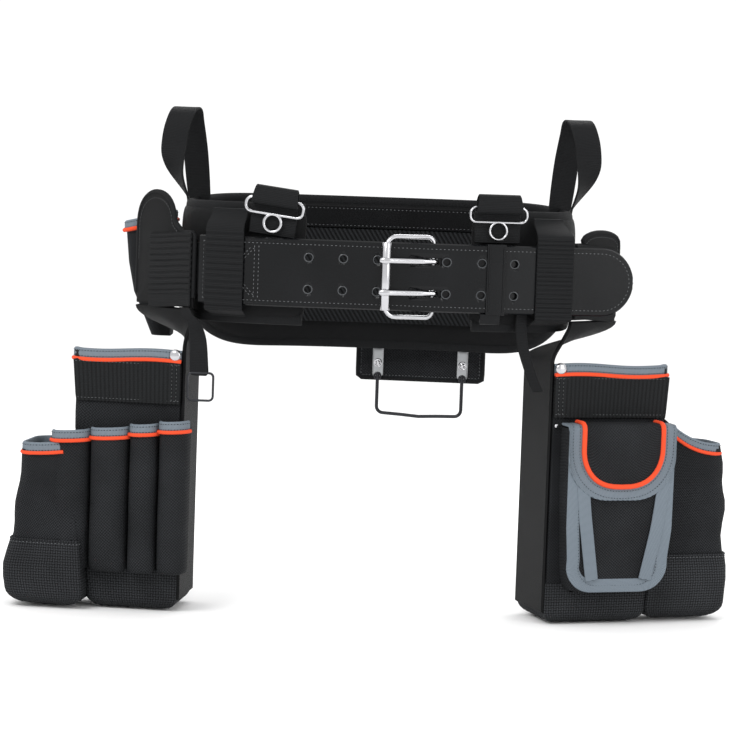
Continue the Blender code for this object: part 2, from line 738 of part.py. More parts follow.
def build_handle(name, side, material):
    """A carry handle: webbing that leaves the pad edge-on at the front, turns flat and comes down behind."""
    foot = pad_edges(WAIST_LENGTH / 4)[1] + HANDLE_FOOT_GAP
    # Across, along, height and the turn of the webbing's width from the X axis, in degrees.
    rows = [
        (0.1925, -0.036, foot, 90),
        (0.2040, -0.038, 0.090, 62),
        (0.2110, -0.035, 0.114, 12),
        (0.2060, -0.028, 0.139, 0),
        (0.2000, -0.010, 0.1555, 0),
        (0.1965, 0.008, 0.1560, 0),
        (0.1950, 0.024, 0.142, 0),
        (0.1915, 0.034, 0.116, 0),
        (0.1890, 0.040, 0.090, 8),
        (0.1860, 0.044, foot + 0.0045, 25),
    ]
    curve = smooth_curve(rows, 2)
    loops = []
    for index, (x, y, z, turn) in enumerate(curve):
        before = curve[max(index - 1, 0)][:3]
        after = curve[min(index + 1, len(curve) - 1)][:3]
        along = unit(after - before)
        width = np.array((math.cos(math.radians(turn)), math.sin(math.radians(turn)), 0.0))
        face = unit(np.cross(along, width))
        width = unit(np.cross(face, along))
        if index == 0:
            width = np.array((0.0, 1.0, 0.0))
            face = np.array((-1.0, 0.0, 0.0))
        corners = []
        for a, b in ((-1, -1), (1, -1), (1, 1), (-1, 1)):
            corner = np.array((x, y, z)) + width * a * HANDLE_WIDTH / 2 + face * b * HANDLE_THICKNESS / 2
            corners.append((side * corner[0], corner[1], corner[2]))
        loops.append(corners)
    handle = loft(name, loops, material)
    return move_origin(handle, (side * HANDLE_PIVOT_X, HANDLE_PIVOT_Y, foot))


# ---------------------------------------------------------------- suspender rings
def suspender_axes(x, tilt):
    """Plan point, outward direction, bar direction and downward direction of a suspender ring."""
    distance = front_distance(x)
    outward = np.append(waist_normal(distance), 0.0)
    along = np.cross(np.array((0.0, 0.0, 1.0)), outward)
    bar = math.cos(tilt) * along - math.sin(tilt) * np.array((0.0, 0.0, 1.0))
    centre = np.append(off_waist(distance, TAB_BAR_OFFSET), TAB_BAR_Z)
    return centre, outward, bar, np.cross(bar, outward)


def build_suspender_ring(name, x, tilt, material):
    """A flat oblong wire link with a round eye under it, bent and welded as one piece."""
    centre, outward, bar, down = suspender_axes(x, tilt)
    outline = rounded_rectangle(RING_BAR_LENGTH, RING_BAR_HEIGHT, 0.0055, 2)
    link = [centre + bar * a + down * (b + RING_BAR_HEIGHT / 2) for a, b in outline]
    ring = wire(name, link, RING_WIRE_RADIUS, RING_WIRE_SIDES, outward, material, closed=True)
    eye_centre = centre + down * (RING_BAR_HEIGHT + RING_EYE_RADIUS - RING_WIRE_RADIUS * 0.4)
    eye = [eye_centre + bar * a + down * b for a, b in arc((0, 0), RING_EYE_RADIUS, 0, 330, 11)]
    eye_wire = RING_WIRE_RADIUS * RING_EYE_SWELL
    modify(ring, wire("eye_" + name, eye, eye_wire, RING_WIRE_SIDES, outward, material, closed=True), "UNION")
    return ring, centre


def build_suspender_tab(name, x, tilt, material):
    """Webbing sewn to the pad, curled over the link's upper bar."""
    centre, outward, bar, down = suspender_axes(x, tilt)
    inset = SEW_GAP + TAB_THICKNESS / 2 - TAB_BAR_OFFSET
    curl_radius = RING_WIRE_RADIUS + SEW_GAP + TAB_THICKNESS / 2
    path = [
        (inset, TAB_ROOT_Z - TAB_BAR_Z),
        (inset, -0.012),
        *arc((0, 0), curl_radius, 180, -75, 8),
    ]
    outline = thick_line(path, TAB_THICKNESS)
    loops = []
    for side in (-1, 1):
        loops.append([centre + bar * side * TAB_WIDTH / 2 + outward * r - down * h for r, h in outline])
    return loft(name, loops, material)


# ---------------------------------------------------------------- hammer holder
def hammer_axes():
    """Centre of the plate's inner face in plan, the direction along it and the direction out of the back."""
    distance = back_distance(HAMMER_X)
    outward = waist_normal(distance)
    along = np.array((outward[1], -outward[0]))
    return off_waist(distance, HANGER_OFFSET), along, outward


def back_distance(x):
    """The distance round the waist of the back point with this x."""
    back = WAIST_POINTS[:, 1] > 0
    places = WAIST_POINTS[back, 0][::-1]
    distances = WAIST_DISTANCES[back][::-1]
    return np.interp(x, places, distances)


def hammer_point(a, b, z):
    centre, along, outward = hammer_axes()
    return np.append(centre + along * a + outward * b, z)


def hammer_box(a_low, a_high, b_low, b_high, z):
    corners = ((a_low, b_low), (a_high, b_low), (a_high, b_high), (a_low, b_high))
    return [hammer_point(a, b, z) for a, b in corners]


def build_hammer_holder(leather, webbing, steel):
    half = HAMMER_PLATE_WIDTH / 2
    loft(
        "hammer_plate",
        [
            hammer_box(-half, half, 0.0, HAMMER_PLATE_THICKNESS, HAMMER_PLATE_BOTTOM),
            hammer_box(-half, half, 0.0, HAMMER_PLATE_THICKNESS, HAMMER_PLATE_TOP),
        ],
        leather,
    )
    face, _, out = hammer_axes()
    build_tunnel("hammer_belt_loop", back_distance(HAMMER_X), face, out, TUNNEL_WIDTH, webbing)
    # The wire loop lies on the plate's inner face, its ends flattened for the rivets.
    wire_b = -SEW_GAP - HAMMER_WIRE_RADIUS
    leg = HAMMER_LOOP_WIDTH / 2
    corner = 0.006
    bottom = HAMMER_LOOP_BOTTOM
    plan = [(-leg, HAMMER_TAB_BOTTOM + 0.004), *arc((-leg + corner, bottom + corner), corner, 180, 270, 3)]
    for share in (0.25, 0.5, 0.75):
        a = (-leg + corner) * (1 - share) + (leg - corner) * share
        plan.append((a, bottom - HAMMER_LOOP_BOW * math.sin(math.pi * share)))
    plan += [*arc((leg - corner, bottom + corner), corner, 270, 360, 3), (leg, HAMMER_TAB_BOTTOM + 0.004)]
    centres = [hammer_point(a, wire_b, z) for a, z in plan]
    outward = np.append(hammer_axes()[2], 0.0)
    loop = wire("hammer_loop", centres, HAMMER_WIRE_RADIUS, 8, outward, steel, closed=False)
    tab_high = -SEW_GAP
    tab_low = -SEW_GAP - HAMMER_TAB_THICKNESS
    for number, place in enumerate((-leg, leg)):
        low_a = place - HAMMER_TAB_WIDTH / 2
        high_a = place + HAMMER_TAB_WIDTH / 2
        tab = loft(
            "flat_end_" + "ab"[number],
            [
                hammer_box(low_a, high_a, tab_low, tab_high, HAMMER_TAB_BOTTOM),
                hammer_box(low_a, high_a, tab_low, tab_high, HAMMER_TAB_TOP),
            ],
            steel,
        )
        modify(loop, tab, "UNION")
        name = ("hammer_rivet_left", "hammer_rivet_right")[number]
        face = tab_low - GAP
        ends = []
        for b, radius in ((face, HAMMER_RIVET_RADIUS), (face - HAMMER_RIVET_HEIGHT, HAMMER_RIVET_RADIUS * 0.7)):
            ring = [
                hammer_point(place + da, b, HAMMER_RIVET_Z + dz) for da, dz in arc((0, 0), radius, 0, 324, 9)
            ]
            ends.append(ring)
        loft(name, ends, steel, smooth=True)


def build_tunnel(name, distance, face, outward, width, material):
    """A belt loop's inner leaf: webbing behind the belt that turns out over and under it to a flat face."""
    inner = WEB_INNER - PIECE_GAP - TUNNEL_THICKNESS / 2
    edge = WEB_WIDTH / 2 + PIECE_GAP + TUNNEL_THICKNESS / 2
    loops = []
    for place in stations(distance - width / 2, distance + width / 2, 0.010):
        normal = waist_normal(place)
        reach = (-SEW_GAP - (on_waist(place) - face) @ outward) / (normal @ outward)
        outline = thick_line([(reach, -edge), (inner, -edge), (inner, edge), (reach, edge)], TUNNEL_THICKNESS)
        loops.append([(*off_waist(place, offset), z) for offset, z in outline])
    return loft(name, loops, material)


# ---------------------------------------------------------------- hangers
def hanger_touch(side):
    """The point of the pad's outer face where its direction in plan is the hanger's."""
    slope = math.tan(HANGER_ANGLE) * WAIST_HALF_WIDTH / WAIST_HALF_DEPTH
    ratio = slope ** (1 / (FRONT_POWER - 1))
    y = (1 + ratio**FRONT_POWER) ** (-1 / FRONT_POWER)
    return np.array((side * ratio * y * WAIST_HALF_WIDTH, -y * WAIST_HALF_DEPTH))


def hanger_axes(side):
    """Where a hanger's inner face touches the belt, the direction back along it and its outward normal."""
    outward = np.array((side * math.sin(HANGER_ANGLE), -math.cos(HANGER_ANGLE)))
    back = np.array((side * math.cos(HANGER_ANGLE), math.sin(HANGER_ANGLE)))
    return hanger_touch(side) + outward * HANGER_OFFSET, back, outward


def hanger_point(side, along, depth, z):
    centre, back, outward = hanger_axes(side)
    return np.append(centre + back * along + outward * depth, z)


def hinge_point(side):
    """Where a pouch swings: in the gap under its hanger, in the middle of the fabric's thickness."""
    return tuple(hanger_point(side, 0.0, HANGER_THICKNESS / 2, HANGER_BOTTOM - PIVOT_GAP / 2))


def build_hanger(name, side, front, tongue_top, material):
    """A padded panel with a round-topped tongue at its rear half."""
    tongue = HANGER_REAR - TONGUE_HALF_WIDTH
    columns = [(front, HANGER_SHOULDER), ((front + tongue - TONGUE_HALF_WIDTH) / 2, HANGER_SHOULDER)]
    rise = tongue_top - HANGER_SHOULDER
    for angle in (180, 160, 135, 110, 90, 70, 45, 20, 0):
        along = tongue + TONGUE_HALF_WIDTH * math.cos(math.radians(angle))
        columns.append((along, HANGER_SHOULDER + rise * math.sin(math.radians(angle)) ** 0.7))
    loops = []
    for along, top in columns:
        loops.append(
            [
                hanger_point(side, along, 0.0, HANGER_BOTTOM),
                hanger_point(side, along, HANGER_THICKNESS, HANGER_BOTTOM),
                hanger_point(side, along, HANGER_THICKNESS, top),
                hanger_point(side, along, 0.0, top),
            ]
        )
    return loft(name, loops, material)


def build_hanger_strap(name, side, front, material):
    """Ribbed webbing sewn on a hanger's outer face."""
    loops = []
    for z in (STRAP_BOTTOM, STRAP_TOP):
        loops.append(hanger_strip(side, front + 0.001, front + 0.001 + STRAP_WIDTH, z))
    return loft(name, loops, material)


def hanger_strip(side, near, far, z):
    """A level cut through webbing that lies on a hanger's outer face."""
    low = HANGER_THICKNESS + SEW_GAP
    high = low + STRAP_THICKNESS
    places = ((near, low), (far, low), (far, high), (near, high))
    return [hanger_point(side, along, depth, z) for along, depth in places]


def build_left_lanyard(front, material):
    """The strap that runs on down from under the left hanger's webbing and turns to face the front."""
    _, back, outward = hanger_axes(-1)
    middle = HANGER_THICKNESS + SEW_GAP + STRAP_THICKNESS / 2
    # Height, place of its middle ahead of the hanger's front edge, depth, turn in degrees and width.
    rows = (
        (STRAP_BOTTOM - GAP, LANYARD_WIDTH / 2, middle, 0.0, LANYARD_WIDTH),
        (STRAP_BOTTOM - 0.006, 0.0000, middle + 0.0026, 8.0, LANYARD_WIDTH * 0.85),
        (STRAP_BOTTOM - 0.013, -0.0085, middle + 0.0012, 20.0, LANYARD_WIDTH * 0.8),
        (STRAP_BOTTOM - 0.030, -0.0085, 0.001, 40.0, LANYARD_WIDTH * 0.9),
        (LANYARD_BOTTOM, -LANYARD_END_AHEAD, LANYARD_END_DEPTH, 50.0, LANYARD_WIDTH),
    )
    loops = []
    for z, along, depth, turn, width in rows:
        angle = math.radians(turn)
        across = back * math.cos(angle) + outward * math.sin(angle)
        through = outward * math.cos(angle) - back * math.sin(angle)
        centre = hanger_point(-1, front + along, depth, z)
        loop = []
        for a, b in ((-1, -1), (1, -1), (1, 1), (-1, 1)):
            loop.append(centre + np.append(across * a * width / 2 + through * b * STRAP_THICKNESS / 2, 0.0))
        loops.append(loop)
    return loft("lanyard_strap_left", loops, material)


def build_right_lanyard(material):
    """A strap sewn to the pad under the right front of the belt, hanging a little outward."""
    half = LANYARD_RIGHT_WIDTH / 2
    loops = []
    place = front_distance(LANYARD_RIGHT_X)
    normal = waist_normal(place)
    along = np.array((-normal[1], normal[0]))
    rows = (
        (0.0, LANYARD_RIGHT_TOP),
        (0.0, PAD_FRONT_BOTTOM),
        (LANYARD_RIGHT_END_X - LANYARD_RIGHT_X, LANYARD_RIGHT_BOTTOM),
    )
    for shift, z in rows:
        loop = []
        for across, layer in ((-half, 0), (half, 0), (half, 1), (-half, 1)):
            plan = off_waist(place, SEW_GAP + layer * STRAP_THICKNESS) + along * (across + shift)
            loop.append((*plan, z))
        loops.append(loop)
    return loft("lanyard_strap_right", loops, material)


def build_strap_ring(front, material):
    """A small oblong wire ring in line with the left lanyard strap's end."""
    top = LANYARD_BOTTOM - GAP - STRAP_RING_WIRE_RADIUS
    centre = hanger_point(-1, front - LANYARD_END_AHEAD, LANYARD_END_DEPTH, top - STRAP_RING_HEIGHT / 2)
    centre = centre + np.array((*STRAP_RING_SHIFT, 0.0))
    outline = rounded_rectangle(STRAP_RING_WIDTH, STRAP_RING_HEIGHT, STRAP_RING_CORNER, 2)
    centres = [centre + np.array((a, 0.0, b)) for a, b in outline]
    ring = wire("strap_ring", centres, STRAP_RING_WIRE_RADIUS, 6, (0.0, -1.0, 0.0), material, closed=True)
    return move_origin(ring, (centre[0], centre[1], top))


def build_side_holster(material, webbing):
    """A narrow tapering pocket on the belt behind the left pouch, open at the top."""
    x_inner = -WAIST_HALF_WIDTH - HANGER_OFFSET
    outer = []
    inner = []
    for depth, front, back, low in (
        (HOLSTER_DEPTH * 0.42, HOLSTER_FRONT_Y + 0.008, HOLSTER_BACK_Y - 0.012, HOLSTER_BOTTOM),
        (HOLSTER_DEPTH * 0.80, HOLSTER_FRONT_Y + 0.003, HOLSTER_BACK_Y - 0.004, -0.030),
        (HOLSTER_DEPTH, HOLSTER_FRONT_Y, HOLSTER_BACK_Y, HOLSTER_RIM),
    ):
        for loops, wall in ((outer, 0.0), (inner, HOLSTER_WALL)):
            cut = 0.010 - wall * 0.5
            plan = [
                (wall, front + wall),
                (depth - wall - cut, front + wall),
                (depth - wall, front + wall + cut),
                (depth - wall, back - wall - cut),
                (depth - wall - cut, back - wall),
                (wall, back - wall),
            ]
            floor = wall if low == HOLSTER_BOTTOM else 0.0
            loop = []
            for reach, y in plan:
                rise = HOLSTER_RIM_RISE * (1 - reach / depth) if low == HOLSTER_RIM else 0.0
                loop.append((x_inner - reach, y, low + floor + rise))
            loops.append(loop)
    shell("side_holster", outer, inner, material, floor=True)
    distance = -WAIST_LENGTH / 4 + (HOLSTER_FRONT_Y + HOLSTER_BACK_Y) / 2
    face = np.array((x_inner, 0.0))
    build_tunnel("holster_belt_loop", distance, face, np.array((-1.0, 0.0)), HOLSTER_TUNNEL_WIDTH, webbing)


# ---------------------------------------------------------------- pouches
class Pouch:
    """The plan axes and sizes of one pouch."""

    def __init__(self, name, side, shift, yaw, top_width, bottom_width):
        self.name = name
        self.side = side
        self.origin = hanger_touch(side) + shift
        self.u_axis = np.array((side * math.cos(yaw), math.sin(yaw)))
        self.v_axis = np.array((-side * math.sin(yaw), math.cos(yaw)))
        self.top_width = top_width
        self.bottom_width = bottom_width

    def point(self, u, v, z):
        return np.append(self.origin + self.u_axis * u + self.v_axis * v, z)

    def width(self, z):
        share = (z - POUCH_BASE) / (POUCH_RIM - POUCH_BASE)
        return self.bottom_width + (self.top_width - self.bottom_width) * share

    def quad(self, u_low, u_high, v_low, v_high, z):
        corners = ((u_low, v_low), (u_high, v_low), (u_high, v_high), (u_low, v_high))
        return [self.point(u, v, z) for u, v in corners]


def build_back_panel(pouch, hanger_front, material):
    """The pouch's inner wall. Above the rim it turns and widens to line up with its hanger."""
    top = HANGER_BOTTOM - PIVOT_GAP
    across = np.linspace(0.0, 1.0, BACK_PANEL_COLUMNS)
    rows = [(0.0, POUCH_BASE)]
    for share in np.linspace(0.0, 1.0, BACK_PANEL_ROWS):
        rows.append((share, (POUCH_RIM + PIECE_GAP) * (1 - share) + top * share))
    loops = []
    for share, z in rows:
        faces = []
        for u, depth in ((-GAP - POUCH_BACK_WALL, 0.0), (-GAP, HANGER_THICKNESS)):
            face = []
            for place in across:
                lower = pouch.point(u, POUCH_DEPTH * place, z)
                along = hanger_front + (HANGER_REAR - hanger_front) * place
                face.append(lower * (1 - share) + hanger_point(pouch.side, along, depth, z) * share)
            faces.append(face)
        loops.append(faces[0] + faces[1][::-1])
    return loft(pouch.name + "_back_panel", loops, material)


def build_pouch_body(pouch, hanger_front, fabric, binding, webbing, metal):
    """Back, front, side and rear panels, base, the rim's binding, the webbing band and the corner rivet."""
    wall = POUCH_WALL
    depth = POUCH_DEPTH
    pieces = [build_back_panel(pouch, hanger_front, fabric)]
    # Each wall in plan: whether a corner is on the outer side, how far in from there, and how deep.
    walls = {
        "_front_panel": ((0, 0.0, 0.0), (1, 0.0, 0.0), (1, 0.0, wall), (0, 0.0, wall)),
        "_side_panel": (
            (1, wall, wall + GAP),
            (1, 0.0, wall + GAP),
            (1, 0.0, depth - wall - GAP),
            (1, wall, depth - wall - GAP),
        ),
        "_rear_panel": ((0, 0.0, depth - wall), (1, 0.0, depth - wall), (1, 0.0, depth), (0, 0.0, depth)),
    }
    top = POUCH_RIM - BINDING_HEIGHT - GAP
    for name, plan in walls.items():
        loops = [[], []]
        for outside, inset, v in plan:
            drop = POUCH_REAR_DROP * round(v / depth)
            for loop, z in zip(loops, (POUCH_BASE + BASE_THICKNESS + GAP, top - drop)):
                loop.append(pouch.point(outside * pouch.width(z) - inset, v, z))
        pieces.append(loft(pouch.name + name, loops, fabric))
    base_width = pouch.width(POUCH_BASE)
    base = [pouch.quad(0.0, base_width, 0.0, POUCH_DEPTH, z) for z in (POUCH_BASE, POUCH_BASE + BASE_THICKNESS)]
    pieces.append(loft(pouch.name + "_base", base, fabric))
    pieces.append(build_binding(pouch, binding))
    band = []
    for z in (BAND_BOTTOM, BAND_TOP):
        band.append(pouch.quad(0.0, pouch.width(z), -PIECE_GAP - BAND_THICKNESS, -PIECE_GAP, z))
    pieces.append(loft(pouch.name + "_webbing_band", band, webbing))
    face = -BINDING_THICKNESS / 2 + POUCH_WALL / 2 - PIECE_GAP
    pieces.append(build_rivet(pouch, 0.006, face, POUCH_RIM - BINDING_HEIGHT / 2, metal))
    return pieces


def build_binding(pouch, material):
    """The bound rim: one strip round the mouth's front, outer side and rear."""
    middle = POUCH_WALL / 2
    width = pouch.top_width
    stops = [
        (0.0, middle, 0.0),
        (width - 0.012, middle, 0.0),
        (width - middle, middle + 0.010, 0.0),
        (width - middle, POUCH_DEPTH - middle - 0.010, 0.9),
        (width - 0.012, POUCH_DEPTH - middle, 1.0),
        (0.0, POUCH_DEPTH - middle, 1.0),
    ]
    path = [pouch.point(u, v, 0.0)[:2] for u, v, _ in stops]
    highs = [POUCH_RIM - POUCH_REAR_DROP * drop for _, _, drop in stops]
    lows = [high - BINDING_HEIGHT + GAP for high in highs]
    return vertical_strip(pouch.name + "_rim_binding", path, BINDING_THICKNESS, lows, highs, material)


def build_rivet(pouch, u, v, z, material):
    loops = []
    for out, radius in ((0.0, RIVET_RADIUS), (0.55, RIVET_RADIUS * 0.86), (1.0, RIVET_RADIUS * 0.4)):
        ring = []
        for a, b in arc((0, 0), radius, 0, 324, 9):
            ring.append(pouch.point(u + a, v - out * RIVET_HEIGHT, z + b))
        loops.append(ring)
    return loft(pouch.name + "_rivet", loops, material, smooth=True)


def build_tool_tubes(pouch, material):
    """Four tool tubes side by side on the front, each a half-round cup."""
    tubes = []
    steps = np.radians(np.linspace(0, 180, 7))
    for number, (outer_u, inner_u, top) in enumerate(zip(TUBE_EDGES, TUBE_EDGES[1:], TUBE_TOPS)):
        middle = (outer_u + inner_u) / 2
        half = (outer_u - inner_u) / 2 - PIECE_GAP / 2
        outer = []
        inner = []
        for share, z in ((0.86, TUBE_BOTTOM), (1.0, -0.27), (1.0, top)):
            for loops, wall in ((outer, 0.0), (inner, POCKET_WALL)):
                loop = []
                for angle in steps:
                    u = middle + (half - wall) * math.cos(angle)
                    v = -PIECE_GAP - wall - (TUBE_DEPTH * share - 2 * wall) * math.sin(angle)
                    rise = (outer_u - u) * 0.06 if z == top else 0.0
                    loop.append(pouch.point(u, v, z + rise + (wall if z == TUBE_BOTTOM else 0.0)))
                loops.append(loop)
        tubes.append(shell(f"left_tool_tube_{number + 1}", outer, inner, material, floor=True))
    return tubes


def build_side_pocket(pouch, rim, rim_drop, top_width, bottom_width, front, material):
    """A flared pocket on the pouch's outer side, open at the top, its rim falling outward."""
    outer = []
    inner = []
    levels = (
        (SIDE_POCKET_BOTTOM, bottom_width - SIDE_POCKET_TUCK),
        (SIDE_POCKET_BOTTOM + SIDE_POCKET_TUCK_HEIGHT, bottom_width),
        (rim, top_width),
    )
    for z, reach in levels:
        near = pouch.width(max(z, POUCH_BASE)) + PIECE_GAP
        for loops, wall in ((outer, 0.0), (inner, POCKET_WALL)):
            cut = 0.012 - wall * 0.5
            step = TUBE_EDGES[0] + 2 * PIECE_GAP
            lip = max(near + wall + 0.001, step + wall) if front < 0 else near + wall
            start = PIECE_GAP + wall
            plan = [
                (near + wall, start),
                (lip, start),
                (lip + 0.002, front + wall if front < 0 else start),
                (reach - wall - cut, front + wall),
                (reach - wall, front + wall + cut),
                (reach - wall, SIDE_POCKET_DEPTH - wall - cut),
                (reach - wall - cut, SIDE_POCKET_DEPTH - wall),
                (near + wall, SIDE_POCKET_DEPTH - wall),
            ]
            loop = []
            for u, v in plan:
                fall = rim_drop * (u - near) / (reach - near) if z == rim else 0.0
                lift = wall if z == SIDE_POCKET_BOTTOM else 0.0
                loop.append(pouch.point(u, v, z - fall + lift))
            loops.append(loop)
    return shell(pouch.name + "_side_pocket", outer, inner, material, floor=True)


def build_phone_pocket(pouch, material):
    outer = []
    inner = []
    for share, z in ((0.80, PHONE_BOTTOM), (1.0, -0.245), (1.0, PHONE_TOP)):
        for loops, wall in ((outer, 0.0), (inner, POCKET_WALL)):
            middle = PHONE_INNER + PHONE_WIDTH / 2
            half = PHONE_WIDTH / 2 * (0.86 + 0.14 * (share == 1.0)) - wall
            back = -PIECE_GAP - wall
            face = -PIECE_GAP - PHONE_DEPTH * share + wall
            cut = 0.006
            plan = [
                (middle - half, back),
                (middle - half, face + cut),
                (middle - half + cut, face),
                (middle + half - cut, face),
                (middle + half, face + cut),
                (middle + half, back),
            ]
            lift = wall if z == PHONE_BOTTOM else 0.0
            loops.append([pouch.point(u, v, z + lift) for u, v in plan])
    return shell("phone_pocket", outer, inner, material, floor=True)


def build_phone_flap(pouch, material):
    """The flap: sewn along its top edge, out over the pocket's mouth and down its front to a round end."""
    outside = -PIECE_GAP - PHONE_DEPTH - PIECE_GAP - FLAP_THICKNESS / 2
    start = -2 * PIECE_GAP - BAND_THICKNESS
    columns = []
    for angle in (180, 150, 120, 90):
        columns.append((PHONE_INNER + FLAP_CORNER * (1 + math.cos(math.radians(angle))), angle))
    for angle in (90, 60, 30, 0):
        columns.append((PHONE_INNER + PHONE_WIDTH - FLAP_CORNER * (1 - math.cos(math.radians(angle))), angle))
    loops = []
    for u, angle in columns:
        end = FLAP_BOTTOM + FLAP_CORNER * (1 - math.sin(math.radians(angle)))
        high = FLAP_TOP - FLAP_THICKNESS / 2
        path = [(start, high), (outside + 0.004, high), (outside, high - 0.004), (outside, end)]
        loops.append([pouch.point(u, v, z) for v, z in thick_line(path, FLAP_THICKNESS)])
    flap = loft("phone_flap", loops, material)
    pivot = pouch.point(PHONE_INNER + PHONE_WIDTH / 2, start, FLAP_TOP)
    return move_origin(flap, tuple(pivot))


# ---------------------------------------------------------------- the whole belt
def main():
    for obj in list(bpy.data.objects):
        bpy.data.objects.remove(obj, do_unlink=True)
    nylon = make_material("black_nylon", (0.020, 0.021, 0.023), 0.85)
    webbing = make_material("black_webbing", (0.028, 0.029, 0.031), 0.75)
    leather = make_material("black_leather", (0.012, 0.012, 0.013), 0.35)
    binding = make_material("grey_binding", (0.16, 0.19, 0.22), 0.80)
    nickel = make_material("bright_nickel", (0.78, 0.78, 0.80), 0.15, 1.0)
    steel = make_material("dark_steel", (0.10, 0.10, 0.11), 0.40, 1.0)
    cutter = make_material("cutter", (0.5, 0.5, 0.5), 1.0)

    build_waist_pad(nylon)
    build_web_belt(webbing)
    build_billet(leather, cutter)
    build_chape(leather, cutter)
    build_keeper(leather)
    build_pad_loops(webbing)

    frame = build_buckle_frame(nickel)
    roller = build_roller(nickel)
    prongs = [
        build_prong("prong_lower", -HOLE_ROW_HEIGHT, nickel),
        build_prong("prong_upper", HOLE_ROW_HEIGHT, nickel),
    ]
    hang_from("buckle_pivot", tuple(HEEL), [frame, roller, *prongs])

    for name, side in (("carry_handle_left", -1), ("carry_handle_right", 1)):
        build_handle(name, side, webbing)
    tab_left = billet_left_end() + TAB_LEFT_ROOM
    for name, x, tilt in (("left", tab_left, TAB_LEFT_TILT), ("right", TAB_RIGHT_X, 0.0)):
        build_suspender_tab("suspender_tab_" + name, x, tilt, webbing)
        ring, centre = build_suspender_ring("suspender_ring_" + name, x, tilt, nickel)
        hang_from("suspender_pivot_" + name, tuple(centre), [ring])

    build_hammer_holder(leather, webbing, steel)
    for name, side, front, top in (
        ("left", -1, -HANGER_LEFT_FRONT, LEFT_TONGUE_TOP),
        ("right", 1, -HANGER_RIGHT_FRONT, RIGHT_TONGUE_TOP),
    ):
        build_hanger("hanger_" + name, side, front, top, nylon)
        build_hanger_strap("hanger_strap_" + name, side, front, webbing)
        face, _, outward = hanger_axes(side)
        distance = front_distance(hanger_touch(side)[0])
        build_tunnel("hanger_tunnel_" + name, distance, face, outward, HANGER_TUNNEL_WIDTH, webbing)
    build_left_lanyard(-HANGER_LEFT_FRONT, webbing)
    build_right_lanyard(webbing)
    build_strap_ring(-HANGER_LEFT_FRONT, steel)
    build_side_holster(nylon, webbing)

    left = Pouch(
        "left", -1, LEFT_POUCH_SHIFT, LEFT_POUCH_YAW, LEFT_POUCH_TOP_WIDTH, LEFT_POUCH_BOTTOM_WIDTH
    )
    pieces = build_pouch_body(left, -HANGER_LEFT_FRONT, nylon, binding, webbing, nickel)
    pieces += build_tool_tubes(left, nylon)
    pieces.append(
        build_side_pocket(
            left,
            LEFT_SIDE_RIM,
            LEFT_SIDE_RIM_DROP,
            LEFT_SIDE_TOP_WIDTH,
            LEFT_SIDE_BOTTOM_WIDTH,
            LEFT_SIDE_FRONT,
            nylon,
        )
    )
    hang_from("left_pouch_pivot", hinge_point(-1), pieces)

    right = Pouch(
        "right", 1, RIGHT_POUCH_SHIFT, RIGHT_POUCH_YAW, RIGHT_POUCH_TOP_WIDTH, RIGHT_POUCH_BOTTOM_WIDTH
    )
    pieces = build_pouch_body(right, -HANGER_RIGHT_FRONT, nylon, binding, webbing, nickel)
    pieces.append(build_phone_pocket(right, nylon))
    pieces.append(build_phone_flap(right, nylon))
    pieces.append(
        build_side_pocket(
            right,
            RIGHT_SIDE_RIM,
            RIGHT_SIDE_RIM_DROP,
            RIGHT_SIDE_TOP_WIDTH,
            RIGHT_SIDE_BOTTOM_WIDTH,
            PIECE_GAP,
            nylon,
        )
    )
    hang_from("right_pouch_pivot", hinge_point(1), pieces)


main()
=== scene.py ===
"""Looks of the tool belt: the camera, soft studio light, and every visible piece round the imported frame."""

import json
import math

import bmesh
import bpy
import numpy as np
from mathutils import Matrix, Vector

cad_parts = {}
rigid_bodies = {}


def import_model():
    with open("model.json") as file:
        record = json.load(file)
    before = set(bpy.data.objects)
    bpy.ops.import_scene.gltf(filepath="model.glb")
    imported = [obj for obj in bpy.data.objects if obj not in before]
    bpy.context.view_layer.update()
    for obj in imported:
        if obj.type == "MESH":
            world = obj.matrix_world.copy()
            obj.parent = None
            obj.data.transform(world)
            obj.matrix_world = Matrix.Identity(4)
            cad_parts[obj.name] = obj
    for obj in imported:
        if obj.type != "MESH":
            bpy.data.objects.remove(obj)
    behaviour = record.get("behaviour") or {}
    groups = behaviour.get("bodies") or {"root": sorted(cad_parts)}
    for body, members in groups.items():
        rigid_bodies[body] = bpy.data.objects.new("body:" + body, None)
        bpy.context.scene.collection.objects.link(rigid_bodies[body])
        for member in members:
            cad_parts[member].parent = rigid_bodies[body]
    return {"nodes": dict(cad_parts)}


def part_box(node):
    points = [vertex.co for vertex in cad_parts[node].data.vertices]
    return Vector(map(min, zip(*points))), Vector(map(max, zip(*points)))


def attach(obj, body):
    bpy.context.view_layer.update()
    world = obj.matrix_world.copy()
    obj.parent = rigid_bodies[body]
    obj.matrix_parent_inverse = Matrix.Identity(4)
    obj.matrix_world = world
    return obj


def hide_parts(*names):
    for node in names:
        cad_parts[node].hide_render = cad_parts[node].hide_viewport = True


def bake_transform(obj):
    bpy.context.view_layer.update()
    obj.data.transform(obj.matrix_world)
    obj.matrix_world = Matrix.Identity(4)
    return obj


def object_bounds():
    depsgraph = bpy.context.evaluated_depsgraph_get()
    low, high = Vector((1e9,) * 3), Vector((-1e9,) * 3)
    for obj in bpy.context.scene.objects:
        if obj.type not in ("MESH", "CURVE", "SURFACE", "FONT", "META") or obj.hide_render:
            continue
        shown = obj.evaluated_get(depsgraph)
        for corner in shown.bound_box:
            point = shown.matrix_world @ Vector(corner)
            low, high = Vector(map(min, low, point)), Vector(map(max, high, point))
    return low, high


for startup in list(bpy.data.objects):
    bpy.data.objects.remove(startup, do_unlink=True)
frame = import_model()
CAD_LOW, CAD_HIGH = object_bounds()

